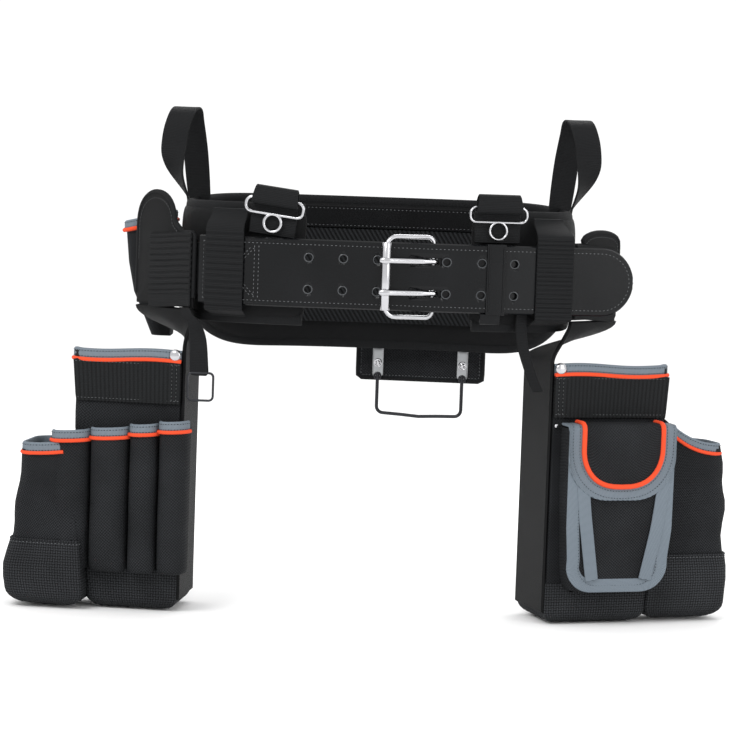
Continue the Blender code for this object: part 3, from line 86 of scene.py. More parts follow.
# ---------------------------------------------------------------- camera, floor and light
CAMERA_PLACE = (-0.006, -2.6, 0.103)
CAMERA_PITCH = math.radians(85.5)
CAMERA_ROLL = math.radians(2.0)
FLOOR_HEIGHT = CAD_LOW.z - 0.0015

camera = bpy.data.objects.new("camera", bpy.data.cameras.new("camera"))
camera.data.lens = 124.5
camera.data.sensor_width = 36.0
camera.matrix_world = (
    Matrix.Translation(CAMERA_PLACE)
    @ Matrix.Rotation(CAMERA_PITCH, 4, "X")
    @ Matrix.Rotation(CAMERA_ROLL, 4, "Z")
)
bpy.context.scene.collection.objects.link(camera)
bpy.context.scene.camera = camera
bpy.context.scene.view_settings.view_transform = "Standard"

world = bpy.data.worlds.new("studio")
bpy.context.scene.world = world
world.use_nodes = True
world.node_tree.nodes["Background"].inputs["Color"].default_value = (1.0, 1.0, 1.0, 1.0)
world.node_tree.nodes["Background"].inputs["Strength"].default_value = 1.08


def area_light(name, place, target, size, power):
    light = bpy.data.lights.new(name, "AREA")
    light.shape = "RECTANGLE"
    light.size, light.size_y = size
    light.energy = power
    obj = bpy.data.objects.new(name, light)
    obj.location = place
    obj.rotation_euler = (Vector(target) - Vector(place)).to_track_quat("-Z", "Y").to_euler()
    bpy.context.scene.collection.objects.link(obj)


area_light("key", (-1.1, -1.6, 1.5), (0.0, -0.1, -0.05), (1.0, 0.8), 26.0)
area_light("fill", (1.5, -1.5, 0.5), (0.0, -0.1, -0.05), (0.8, 1.2), 10.0)
area_light("rim", (0.3, 1.4, 1.3), (0.0, 0.0, 0.0), (1.4, 0.5), 14.0)


# ---------------------------------------------------------------- materials
class Graph:
    """A procedural material on metric UV coordinates."""

    def __init__(self, name, roughness, metallic=0.0, specular=0.5):
        self.material = bpy.data.materials.new(name)
        self.material.use_nodes = True
        self.tree = self.material.node_tree
        self.shader = self.tree.nodes["Principled BSDF"]
        self.shader.inputs["Roughness"].default_value = roughness
        self.shader.inputs["Metallic"].default_value = metallic
        self.shader.inputs["Specular IOR Level"].default_value = specular

    def node(self, kind, inputs=None, output=0, **settings):
        node = self.tree.nodes.new(kind)
        for key, value in settings.items():
            setattr(node, key, value)
        for key, value in (inputs or {}).items():
            if isinstance(value, bpy.types.NodeSocket):
                self.tree.links.new(value, node.inputs[key])
            else:
                node.inputs[key].default_value = value
        return node.outputs[output]

    def maths(self, operation, *values):
        return self.node("ShaderNodeMath", dict(enumerate(values)), operation=operation)

    def axes(self, pitch, turn=0.0):
        """The two UV coordinates, in pitches, turned by an angle in degrees."""
        coordinates = self.node("ShaderNodeTexCoord", output="UV")
        scale = (1 / pitch,) * 3
        mapped = self.node(
            "ShaderNodeMapping",
            {"Vector": coordinates, "Scale": scale, "Rotation": (0.0, 0.0, math.radians(turn))},
        )
        split = self.tree.nodes.new("ShaderNodeSeparateXYZ")
        self.tree.links.new(mapped, split.inputs[0])
        return split.outputs[0], split.outputs[1]

    def wave(self, value):
        return self.maths("ABSOLUTE", self.maths("SINE", self.maths("MULTIPLY", value, math.pi)))

    def weave(self, pitch, turn=0.0):
        """Over and under threads: 0 in the gaps, 1 on top of a thread."""
        u, v = self.axes(pitch, turn)
        cell = self.maths("ADD", self.maths("FLOOR", u), self.maths("FLOOR", v))
        parity = self.maths("FLOORED_MODULO", cell, 2.0)
        first = self.maths("MULTIPLY", self.wave(u), parity)
        second = self.maths("MULTIPLY", self.wave(v), self.maths("SUBTRACT", 1.0, parity))
        return self.maths("ADD", first, second)

    def ribs(self, pitch, turn=0.0):
        return self.wave(self.axes(pitch, turn)[0])

    def noise(self, scale, detail=3.0):
        place = self.node("ShaderNodeTexCoord", output="Object")
        return self.node("ShaderNodeTexNoise", {"Vector": place, "Scale": scale, "Detail": detail})

    def mix(self, factor, low, high):
        node = self.tree.nodes.new("ShaderNodeMix")
        node.data_type = "RGBA"
        for index, value in ((0, factor), (6, low), (7, high)):
            if isinstance(value, bpy.types.NodeSocket):
                self.tree.links.new(value, node.inputs[index])
            else:
                node.inputs[index].default_value = (*value, 1.0) if index else value
        return node.outputs[2]

    def colour(self, value):
        if isinstance(value, bpy.types.NodeSocket):
            self.tree.links.new(value, self.shader.inputs["Base Color"])
        else:
            self.shader.inputs["Base Color"].default_value = (*value, 1.0)

    def bump(self, height, distance, strength=1.0):
        inputs = {"Height": height, "Distance": distance, "Strength": strength}
        self.tree.links.new(self.node("ShaderNodeBump", inputs), self.shader.inputs["Normal"])


def fabric(name, pitch, dark, light, depth, turn=0.0, roughness=0.8):
    """Woven cloth: the gaps between threads painted darker as shade, the thread tops painted lighter as
    highlights, with slow random changes of tone.
    """
    graph = Graph(name, roughness, specular=0.14)
    height = graph.weave(pitch, turn)
    # The painted thread-top highlight colour, made lighter and darker in slow random patches.
    patchy_highlight = graph.mix(graph.noise(22.0), [c * 0.45 for c in light], [c * 1.7 for c in light])
    # Colour follows the weave's height: painted shade in the gaps, painted highlight on the thread tops.
    graph.colour(graph.mix(graph.maths("POWER", height, 1.6), dark, patchy_highlight))
    graph.bump(height, depth)
    return graph.material


def ribbed(name, pitch, dark, light, depth, turn=0.0, roughness=0.7, cross=0.0):
    """Webbing: ribs, and with cross a finer weave over them; the grooves are painted darker as shade and the
    rib tops painted lighter as highlights.
    """
    graph = Graph(name, roughness, specular=0.16)
    height = graph.ribs(pitch, turn)
    if cross:
        fine = graph.maths("MULTIPLY", graph.weave(cross, turn), 0.5)
        height = graph.maths("ADD", graph.maths("MULTIPLY", height, 0.7), fine)
    # Colour follows the ribs' height: painted shade in the grooves, painted highlight on the rib tops.
    graph.colour(graph.mix(graph.maths("POWER", height, 1.4), dark, light))
    graph.bump(height, depth)
    return graph.material


def leather_material():
    graph = Graph("leather", 0.34, specular=0.2)
    grain = graph.noise(420.0, 5.0)
    slow = graph.noise(16.0)
    graph.colour(graph.mix(slow, (0.0012, 0.0014, 0.0017), (0.0045, 0.005, 0.006)))
    rough = graph.maths("MULTIPLY_ADD", slow, 0.20, 0.16)
    graph.tree.links.new(rough, graph.shader.inputs["Roughness"])
    graph.bump(graph.maths("ADD", grain, graph.maths("MULTIPLY", slow, 3.0)), 0.0002, 0.35)
    return graph.material


def metal_material(name, colour, roughness):
    graph = Graph(name, roughness, metallic=1.0)
    graph.colour(graph.mix(graph.noise(60.0), colour, [c * 0.82 for c in colour]))
    graph.bump(graph.noise(240.0), 0.00006, 0.35)
    return graph.material


def plain_material(name, colour, roughness):
    graph = Graph(name, roughness, specular=0.3)
    graph.colour(colour)
    return graph.material


# Each cloth below gets two colours: the first is painted shade for the gaps between its threads or ribs, the
# second a painted highlight for their tops; the grey binding and orange piping keep their own colour between
# the two.
NYLON = fabric("ballistic_nylon", 0.0022, (0.0012, 0.0013, 0.0015), (0.021, 0.0225, 0.025), 0.0006, turn=38.0)
COARSE = fabric("coarse_nylon", 0.0027, (0.0012, 0.0013, 0.0015), (0.030, 0.032, 0.035), 0.0008)
SMOOTH = fabric("pad_nylon", 0.0009, (0.0015, 0.0016, 0.0018), (0.005, 0.0053, 0.006), 0.0002, roughness=0.6)
LINING = fabric("lining", 0.0011, (0.0015, 0.0016, 0.0018), (0.006, 0.0063, 0.007), 0.0002, roughness=0.9)
FOAM = ribbed("ribbed_foam", 0.0042, (0.001, 0.0011, 0.0013), (0.012, 0.013, 0.0145), 0.0012, turn=32.0)
WEBBING = ribbed(
    "webbing", 0.0016, (0.0015, 0.0016, 0.0018), (0.0085, 0.009, 0.010), 0.0003, turn=90.0, cross=0.0011
)
BAND = ribbed(
    "band_webbing", 0.0042, (0.001, 0.0011, 0.0013), (0.011, 0.012, 0.013), 0.0007, cross=0.0017
)
LEATHER = leather_material()
GREY = ribbed("grey_binding", 0.0011, (0.085, 0.105, 0.125), (0.19, 0.225, 0.26), 0.0002, turn=12.0)
ORANGE = ribbed("orange_piping", 0.0012, (0.62, 0.050, 0.016), (0.83, 0.088, 0.030), 0.0002, turn=35.0)
NICKEL = metal_material("nickel", (0.56, 0.56, 0.58), 0.2)
STEEL = metal_material("dark_steel", (0.045, 0.046, 0.050), 0.30)
CLIP = metal_material("clip_steel", (0.36, 0.37, 0.38), 0.34)
THREAD = plain_material("dark_thread", (0.006, 0.0065, 0.007), 0.7)
PALE_THREAD = plain_material("pale_thread", (0.12, 0.125, 0.13), 0.6)
# Lighter rims round the belt holes: a painted highlight where light catches the dimpled leather round each
# hole.
HOLE_HIGHLIGHT = plain_material("hole_edge_highlight", (0.045, 0.048, 0.052), 0.28)


# ---------------------------------------------------------------- shapes
def unit(vector):
    vector = np.asarray(vector, float)
    return vector / np.maximum(np.linalg.norm(vector, axis=-1, keepdims=True), 1e-12)


def lengths(points):
    """Distance along a row of points, from 0."""
    steps = np.linalg.norm(np.diff(np.asarray(points, float), axis=0), axis=1)
    return np.concatenate([[0.0], np.cumsum(steps)])


def clamp(value):
    return min(1.0, max(0.0, value))


def full_turn(count):
    """This many angles spread evenly round a circle."""
    return np.linspace(0, 2 * math.pi, count + 1)[:-1]


def quad(first, second, index, after):
    """A face between two loops or rows of points that start at first and second."""
    return [first + index, first + after, second + after, second + index]


def quad_uv(around, along, column, row):
    low, high = around[column], around[column + 1]
    return [(low, along[row]), (high, along[row]), (high, along[row + 1]), (low, along[row + 1])]


def solid(name, points, faces, corners, material, body="root", replaces=(), bevel=0.0):
    """A closed shape: faces with a UV for each of their corners, riding on a body."""
    mesh = bpy.data.meshes.new(name)
    mesh.from_pydata([tuple(point) for point in points], [], [tuple(face) for face in faces])
    layer = mesh.uv_layers.new(name="UVMap")
    layer.data.foreach_set("uv", np.array([uv for face in corners for uv in face], float).ravel())
    shape = bmesh.new()
    shape.from_mesh(mesh)
    bmesh.ops.recalc_face_normals(shape, faces=shape.faces)
    shape.to_mesh(mesh)
    shape.free()
    mesh.shade_smooth()
    mesh.set_sharp_from_angle(angle=math.radians(50))
    mesh.materials.append(material)
    obj = bpy.data.objects.new(name, mesh)
    bpy.context.scene.collection.objects.link(obj)
    if bevel:
        modifier = obj.modifiers.new("bevel", "BEVEL")
        modifier.width = bevel
        modifier.segments = 2
        modifier.limit_method = "ANGLE"
    if body:
        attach(obj, body)
    if replaces:
        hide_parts(*replaces)
    return obj


def sheet(name, grid, thickness, material, **options):
    """Cloth or leather round a grid of points on its middle surface, with a rounded edge."""
    grid = np.asarray(grid, float)
    rows, columns = grid.shape[:2]
    normals = unit(np.cross(np.gradient(grid, axis=1), np.gradient(grid, axis=0)))
    around = lengths(grid[rows // 2])
    along = lengths(grid[:, columns // 2])
    half = normals * thickness / 2
    points = [*(grid + half).reshape(-1, 3), *(grid - half).reshape(-1, 3)]
    faces = []
    corners = []
    count = rows * columns
    for row in range(rows - 1):
        for column in range(columns - 1):
            face = quad(row * columns, (row + 1) * columns, column, column + 1)
            uv = quad_uv(around, along, column, row)
            faces += [face, [index + count for index in face[::-1]]]
            corners += [uv, uv[::-1]]
    # Each place on the rim, with its neighbour further in.
    edge = [((0, c), (1, c)) for c in range(columns)]
    edge += [((r, columns - 1), (r, columns - 2)) for r in range(1, rows)]
    edge += [((rows - 1, c), (rows - 2, c)) for c in range(columns - 2, -1, -1)]
    edge += [((r, 0), (r, 1)) for r in range(rows - 2, 0, -1)]
    start = len(points)
    for place, inner in edge:
        points.append(grid[place] + unit(grid[place] - grid[inner]) * thickness * 0.35)
    for index in range(len(edge)):
        after = (index + 1) % len(edge)
        here, there = edge[index][0], edge[after][0]
        a, b = here[0] * columns + here[1], there[0] * columns + there[1]
        uv_a = (around[here[1]], along[here[0]])
        uv_b = (around[there[1]], along[there[0]])
        for layer in (0, count):
            faces.append([a + layer, b + layer, start + after, start + index])
            corners.append([uv_a, uv_b, uv_b, uv_a])
    obj = solid(name, points, faces, corners, material, **options)
    obj["flat_width"] = float(around[-1])
    obj["flat_length"] = float(along[-1])
    return obj


def loft(name, loops, material, ring=False, **options):
    """A solid through closed loops of points, capped at its ends or joined round into a ring."""
    loops = [np.asarray(loop, float) for loop in loops]
    count = len(loops[0])
    widest = max(loops, key=lambda loop: lengths(loop)[-1])
    around = lengths(np.concatenate([widest, widest[:1]]))
    cap_uv = tuple(loops[0].mean(axis=0)[:2])
    steps = [np.linalg.norm(b - a, axis=1).mean() for a, b in zip(loops, loops[1:] + loops[:1])]
    along = np.concatenate([[0.0], np.cumsum(steps)])
    points = [point for loop in loops for point in loop]
    faces = []
    corners = []
    for row in range(len(loops) if ring else len(loops) - 1):
        first, second = row * count, (row + 1) % len(loops) * count
        for index in range(count):
            after = (index + 1) % count
            faces.append(quad(first, second, index, after))
            corners.append(quad_uv(around, along, index, row))
    if not ring:
        for loop, first in ((loops[0], 0), (loops[-1], len(points) - count)):
            middle = len(points)
            points.append(loop.mean(axis=0))
            for index in range(count):
                after = (index + 1) % count
                faces.append([first + index, first + after, middle])
                corners.append([tuple(loop[index][:2]), tuple(loop[after][:2]), cap_uv])
    return solid(name, points, faces, corners, material, **options)


def tangents(path, closed=False):
    path = np.asarray(path, float)
    if closed:
        return unit(np.roll(path, -1, axis=0) - np.roll(path, 1, axis=0))
    return unit(np.gradient(path, axis=0))


def tube(name, path, radius, material, sides=10, closed=False, flat=1.0, normal=None, **options):
    """A round or flattened bar along a path. radius may be one value or one for each point."""
    path = np.asarray(path, float)
    radii = np.broadcast_to(np.asarray(radius, float), len(path))
    directions = tangents(path, closed)
    if normal is None:
        normal = unit(np.cross(directions[0], (0.3, 0.2, 0.93)))
    side = unit(np.cross(np.cross(directions[0], normal), directions[0]))
    loops = []
    for point, direction, size in zip(path, directions, radii):
        side = unit(side - direction * (side @ direction))
        across = np.cross(direction, side)
        angles = np.arange(sides) * 2 * math.pi / sides
        loops.append([point + size * (math.cos(a) * across + flat * math.sin(a) * side) for a in angles])
    return loft(name, loops, material, ring=closed, **options)


def moulding(name, path, outs, section, material, closed=False, **options):
    """A strip of even section along a path: section points are (outward, upward) offsets."""
    up = np.array((0.0, 0.0, 1.0))
    loops = []
    for point, out in zip(path, outs):
        loops.append([np.asarray(point) + np.asarray(out) * a + up * b for a, b in section])
    return loft(name, loops, material, ring=closed, **options)


def pillow(name, outline, place, thickness, edge, crown, material, **options):
    """A flat panel with a rolled edge and a crowned face. place maps (a, b, depth) to the row frame."""
    outline = np.asarray(outline, float)
    directions = tangents(outline, closed=True)
    inward = np.stack([-directions[:, 1], directions[:, 0]], axis=1)
    centre = outline.mean(axis=0)
    if ((centre - outline[0]) @ inward[0]) < 0:
        inward = -inward
    half = thickness / 2
    rings = [(outline + (centre - outline) * share, -half) for share in (0.75, 0.4)]
    rolled = ((edge, -1.0), (edge * 0.3, -0.75), (0.0, 0.0), (edge * 0.3, 0.75), (edge, 1.0))
    for inset, height in rolled:
        rings.append((outline + inward * inset, height * half))
    for share, rise in ((0.25, 0.55), (0.5, 0.85), (0.8, 1.0)):
        inner = outline + inward * edge
        rings.append((inner + (centre - inner) * share, half + crown * rise))
    count = len(outline)
    points = [place(a, b, height) for ring, height in rings for a, b in ring]
    flat = [(a, b) for ring, _ in rings for a, b in ring]
    faces = []
    for row in range(len(rings) - 1):
        for index in range(count):
            after = (index + 1) % count
            faces.append(quad(row * count, (row + 1) * count, index, after))
    for first, height in ((0, -half), ((len(rings) - 1) * count, half + crown)):
        middle = len(points)
        points.append(place(*centre, height))
        flat.append(tuple(centre))
        faces += [[first + index, first + (index + 1) % count, middle] for index in range(count)]
    corners = [[flat[index] for index in face] for face in faces]
    return solid(name, points, faces, corners, material, **options)


def turned(name, centre, axis, profile, material, sides=24, **options):
    """A turned piece: profile points are (along the axis, radius)."""
    axis = unit(axis)
    side = unit(np.cross(axis, (0.1, 0.3, 0.95)))
    other = np.cross(axis, side)
    loops = []
    for along, radius in profile:
        angles = np.arange(sides) * 2 * math.pi / sides
        spot = np.asarray(centre, float) + axis * along
        loops.append([spot + radius * (math.cos(a) * side + math.sin(a) * other) for a in angles])
    return loft(name, loops, material, **options)


def resample(path, step):
    path = np.asarray(path, float)
    distance = lengths(path)
    places = np.linspace(0, distance[-1], max(2, int(round(distance[-1] / step)) + 1))
    return np.stack([np.interp(places, distance, path[:, axis]) for axis in range(path.shape[1])], axis=1)


def stitches(name, paths, material, body="root", pitch=0.0036, length=0.0023, radius=0.00038, **options):
    """Separate thread stitches along each path, as one object."""
    points = []
    faces = []
    for path in paths:
        spots = resample(path, pitch)
        for spot, direction in zip(spots, tangents(spots)):
            side = unit(np.cross(direction, (0.21, 0.35, 0.91)))
            other = np.cross(direction, side)
            start = len(points)
            points += [spot - direction * length / 2, spot + direction * length / 2]
            points += [spot + radius * (side * a + other * b) for a, b in ((1, 0), (0, 1), (-1, 0), (0, -1))]
            for index in range(4):
                after = (index + 1) % 4
                faces.append([start, start + 2 + index, start + 2 + after])
                faces.append([start + 1, start + 2 + after, start + 2 + index])
    corners = [[(0.0, 0.0)] * 3 for _ in faces]
    return solid(name, points, faces, corners, material, body=body, **options)


def arc(centre, radius, start, end, steps):
    angles = np.radians(np.linspace(start, end, steps + 1))
    return [(centre[0] + radius * math.cos(a), centre[1] + radius * math.sin(a)) for a in angles]


def rounded(low, high, radii, steps=5, fill=0):
    """A rectangle's outline with a radius at each corner: low left, low right, high right, high left.
    fill adds points to each straight side."""
    centres = ((low[0], low[1]), (high[0], low[1]), (high[0], high[1]), (low[0], high[1]))
    corners = []
    for number, ((x, y), radius) in enumerate(zip(centres, radii)):
        radius = max(radius, 1e-4)
        inward = (1 if number in (0, 3) else -1, 1 if number in (0, 1) else -1)
        middle = (x + inward[0] * radius, y + inward[1] * radius)
        corners.append(arc(middle, radius, 180 + 90 * number, 270 + 90 * number, steps))
    points = []
    for corner, following in zip(corners, corners[1:] + corners[:1]):
        points += corner
        start, end = np.array(corner[-1]), np.array(following[0])
        points += [tuple(start + (end - start) * share) for share in np.linspace(0, 1, fill + 2)[1:-1]]
    return np.array(points)


def smooth_curve(points, steps):
    points = [np.asarray(point, float) for point in points]
    points = [2 * points[0] - points[1], *points, 2 * points[-1] - points[-2]]
    curve = []
    for a, b, c, d in zip(points, points[1:], points[2:], points[3:]):
        for t in np.arange(steps) / steps:
            square = (2 * a - 5 * b + 4 * c - d) * t**2
            cube = (3 * b - a - 3 * c + d) * t**3
            curve.append(0.5 * (2 * b + (c - a) * t + square + cube))
    return np.array([*curve, points[-2]])


def ribbon(name, rows, thickness, material, columns=7, **options):
    """Webbing along rows of (centre, width vector)."""
    spread = np.linspace(-0.5, 0.5, columns)
    grid = [[np.asarray(centre) + np.asarray(width) * s for s in spread] for centre, width in rows]
    return sheet(name, grid, thickness, material, **options)


def cloth(obj):
    return obj


# ---------------------------------------------------------------- the waist's plan curve
FRONT_POWER = 3.6
BACK_POWER = 2.6
PAD_LOW, PAD_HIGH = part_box("waist_pad")
HALF_WIDTH = PAD_HIGH.x
HALF_DEPTH = PAD_HIGH.y
ANGLES = np.radians(np.linspace(-90, 270, 1441))


def waist_point(angle):
    power = FRONT_POWER if math.sin(angle) < 0 else BACK_POWER
    across = abs(math.cos(angle) / HALF_WIDTH) ** power
    along = abs(math.sin(angle) / HALF_DEPTH) ** power
    radius = (across + along) ** (-1 / power)
    return radius * math.cos(angle), radius * math.sin(angle)


WAIST = np.array([waist_point(angle) for angle in ANGLES])
ROUND = lengths(WAIST)
WAIST_LENGTH = ROUND[-1]
QUARTER = len(ANGLES) // 4


def on_waist(distance):
    distance = distance % WAIST_LENGTH
    return np.array((np.interp(distance, ROUND, WAIST[:, 0]), np.interp(distance, ROUND, WAIST[:, 1])))


def waist_normal(distance):
    tangent = unit(on_waist(distance + 0.0005) - on_waist(distance - 0.0005))
    return np.array((tangent[1], -tangent[0]))


def off_waist(distance, offset, z):
    return np.append(on_waist(distance) + waist_normal(distance) * offset, z)


def front(x):
    """The distance round the waist of the front point with this x."""
    return math.copysign(np.interp(abs(x), WAIST[: QUARTER + 1, 0], ROUND[: QUARTER + 1]), x)


# ---------------------------------------------------------------- waist pad
PAD_THICKNESS = 0.018
PIN_REACH = 0.010
MOST_SWELL = 0.005
CLOTH_FRAMES = 20
PAD_RIGHT_END = front(0.089)
PAD_LEFT_END = WAIST_LENGTH + front(-0.068)
WEB_MIDDLE = 0.00585
WEB_OUTER = 0.0071


def pad_edges(distance):
    y = on_waist(distance)[1] / HALF_DEPTH
    to_back = 0.5 - 0.5 * math.cos(math.pi * clamp((y - 0.05) / 0.85))
    return -0.046 - 0.040 * to_back, 0.0605 + 0.006 * to_back


def inflate(obj):
    """Fills the pad with air for a moment, so that its faces swell between its bound edges."""
    remesh = obj.modifiers.new("remesh", "REMESH")
    remesh.mode = "VOXEL"
    remesh.voxel_size = 0.0045
    bpy.context.view_layer.objects.active = obj
    bpy.ops.object.modifier_apply(modifier="remesh")
    rest = np.array([vertex.co for vertex in obj.data.vertices])
    pin = obj.vertex_groups.new(name="pin")
    for vertex in obj.data.vertices:
        distance = ROUND[np.argmin(((WAIST - np.array(vertex.co[:2])) ** 2).sum(axis=1))]
        low, high = pad_edges(distance)
        near = min(vertex.co.z - low, high - vertex.co.z)
        pin.add([vertex.index], max(0.0, 1.0 - near / PIN_REACH), "REPLACE")
    cloth_modifier = obj.modifiers.new("cloth", "CLOTH")
    settings = cloth_modifier.settings
    settings.vertex_group_mass = "pin"
    settings.use_pressure = True
    settings.uniform_pressure_force = 4.0
    settings.effector_weights.gravity = 0.0
    settings.tension_stiffness = settings.compression_stiffness = 25.0
    cloth_modifier.point_cache.frame_start = 1
    cloth_modifier.point_cache.frame_end = CLOTH_FRAMES
    for number in range(1, CLOTH_FRAMES + 1):
        bpy.context.scene.frame_set(number)
    bpy.ops.object.modifier_apply(modifier="cloth")
    moved = np.array([vertex.co for vertex in obj.data.vertices]) - rest
    size = np.linalg.norm(moved, axis=1, keepdims=True)
    moved *= np.minimum(1.0, MOST_SWELL / np.maximum(size, 1e-9))
    obj.data.vertices.foreach_set("co", (rest + moved).ravel())
    bpy.context.scene.frame_set(1)


def unroll(obj):
    """Metric UVs for the pad: the distance round the waist and the height."""
    places = np.array([vertex.co for vertex in obj.data.vertices])
    nearest = [ROUND[np.argmin(((WAIST - place[:2]) ** 2).sum(axis=1))] for place in places]
    layer = obj.data.uv_layers.new(name="Unrolled")
    layer.active = layer.active_render = True
    uvs = np.stack([nearest, places[:, 2]], axis=1)
    owners = np.zeros(len(obj.data.loops), int)
    obj.data.loops.foreach_get("vertex_index", owners)
    layer.data.foreach_set("uv", uvs[owners].ravel())


def build_pad():
    half = PAD_THICKNESS / 2 - 0.0022
    loops = []
    stops = np.linspace(PAD_RIGHT_END, PAD_LEFT_END, 130)
    for number, distance in enumerate(stops):
        low, high = pad_edges(distance)
        end = min(number, len(stops) - 1 - number)
        full = math.sin(min(1.0, (end + 0.4) / 2.4) * math.pi / 2)
        height = (high - low) / 2 * (0.90 + 0.10 * full)
        middle = (high + low) / 2
        loop = []
        for a in full_turn(32):
            out = half * full * np.sign(math.cos(a)) * abs(math.cos(a)) ** 0.55
            up = height * np.sign(math.sin(a)) * abs(math.sin(a)) ** 0.32
            loop.append(off_waist(distance, out - PAD_THICKNESS / 2, middle + up))
        loops.append(loop)
    pad = loft("pad", loops, SMOOTH, body=None, replaces=("waist_pad",))
    inflate(pad)
    unroll(pad)
    pad.data.shade_smooth()
    modifier = pad.modifiers.new("subdivision", "SUBSURF")
    modifier.levels = modifier.render_levels = 1
    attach(pad, "root")
    for name, top, side in (("top", True, 1), ("bottom", False, -1)):
        path = []
        for distance in np.linspace(PAD_RIGHT_END + 0.004, PAD_LEFT_END - 0.004, 150):
            edge = pad_edges(distance)[1 if top else 0]
            path.append(off_waist(distance, -PAD_THICKNESS / 2, edge - side * 0.0016))
        tube(f"pad_piping_{name}", path, 0.0034, WEBBING, flat=2.1, normal=(0, 0, 1.0), sides=12)
    stops = np.linspace(front(0.16), WAIST_LENGTH + front(-0.16), 110)
    for name, low, high, depth, material in (
        ("lining_foam", -0.062, 0.036, 0.0205, FOAM),
        ("lining_band", 0.0385, 0.0605, 0.0195, LINING),
    ):
        grid = []
        for share in np.linspace(0, 1, 5):
            row = []
            for distance in stops:
                bottom = max(low, pad_edges(distance)[0] + 0.012)
                swell = 0.0010 * math.sin(math.pi * share)
                z = bottom + (high - bottom) * share
                row.append(off_waist(distance, -depth - swell, z))
            grid.append(row)
        cloth(sheet(name, grid, 0.003, material))
    seam = [[off_waist(d, -0.0213, z) for d in stops] for z in (0.0405, 0.0585)]
    stitches("lining_stitches", seam, PALE_THREAD, pitch=0.0042)
    for name, side in (("right", 1), ("left", -1)):
        distance = PAD_RIGHT_END if side > 0 else PAD_LEFT_END
        place = distance - side * 0.001
        path = [off_waist(place, -PAD_THICKNESS / 2, z) for z in np.linspace(-0.043, 0.0575, 24)]
        tube(f"pad_piping_{name}", path, 0.0030, WEBBING, flat=2.0, normal=(0.0, 0.0, 1.0))


def build_web_belt():
    stops = np.linspace(front(0.084), WAIST_LENGTH + front(-0.112), 160)
    grid = [[off_waist(d, WEB_MIDDLE, z) for d in stops] for z in np.linspace(-0.0245, 0.0245, 5)]
    webbing = sheet("belt_webbing", grid, 0.0024, WEBBING, replaces=("web_belt",))
    cloth(webbing)
    seam = [[off_waist(d, WEB_OUTER, z) for d in stops] for z in (-0.021, 0.021)]
    stitches("belt_stitches", seam, THREAD)


# ---------------------------------------------------------------- leather belt and buckle
LEATHER_HALF = 0.0318
LEATHER_THICKNESS = 0.0032
LEFT_MIDDLE = 0.0090
HEEL_MIDDLE = WEB_MIDDLE + 0.00635 + 0.0006
RIGHT_MIDDLE = 0.0112
HEEL_X = 0.053
ROLLER_X = 0.008
ROLLER_OFFSET = 0.0156
TIP_START_X = 0.120
TIP_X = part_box("leather_billet")[1].x
SLOT_X = 0.0325
HOLE_PITCH = 0.0328
HOLE_RADIUS = 0.0036
RIM_RADIUS = 0.0041
HOLE_ROW = 0.0153
PRONG_CURL = 0.00385


def belt_offset(x):
    return np.interp(x, (ROLLER_X + 0.008, HEEL_X, HEEL_X + 0.022), (LEFT_MIDDLE, HEEL_MIDDLE, RIGHT_MIDDLE))


TIP_NORMAL = waist_normal(front(TIP_START_X))
TIP_DIRECTION = np.array((-TIP_NORMAL[1], TIP_NORMAL[0]))
TIP_START = off_waist(front(TIP_START_X), RIGHT_MIDDLE, 0.0)[:2]
TIP_STRAIGHT = (TIP_X - TIP_START[0]) / TIP_DIRECTION[0] - LEATHER_HALF


def on_belt(x, z, out=0.0):
    """A point of the leather belt's middle surface, or out from it."""
    if x <= TIP_START_X:
        return off_waist(front(x), belt_offset(x) + out, z)
    spot = TIP_START + TIP_DIRECTION * (x - TIP_START[0]) / TIP_DIRECTION[0] + TIP_NORMAL * out
    return np.append(spot, z)


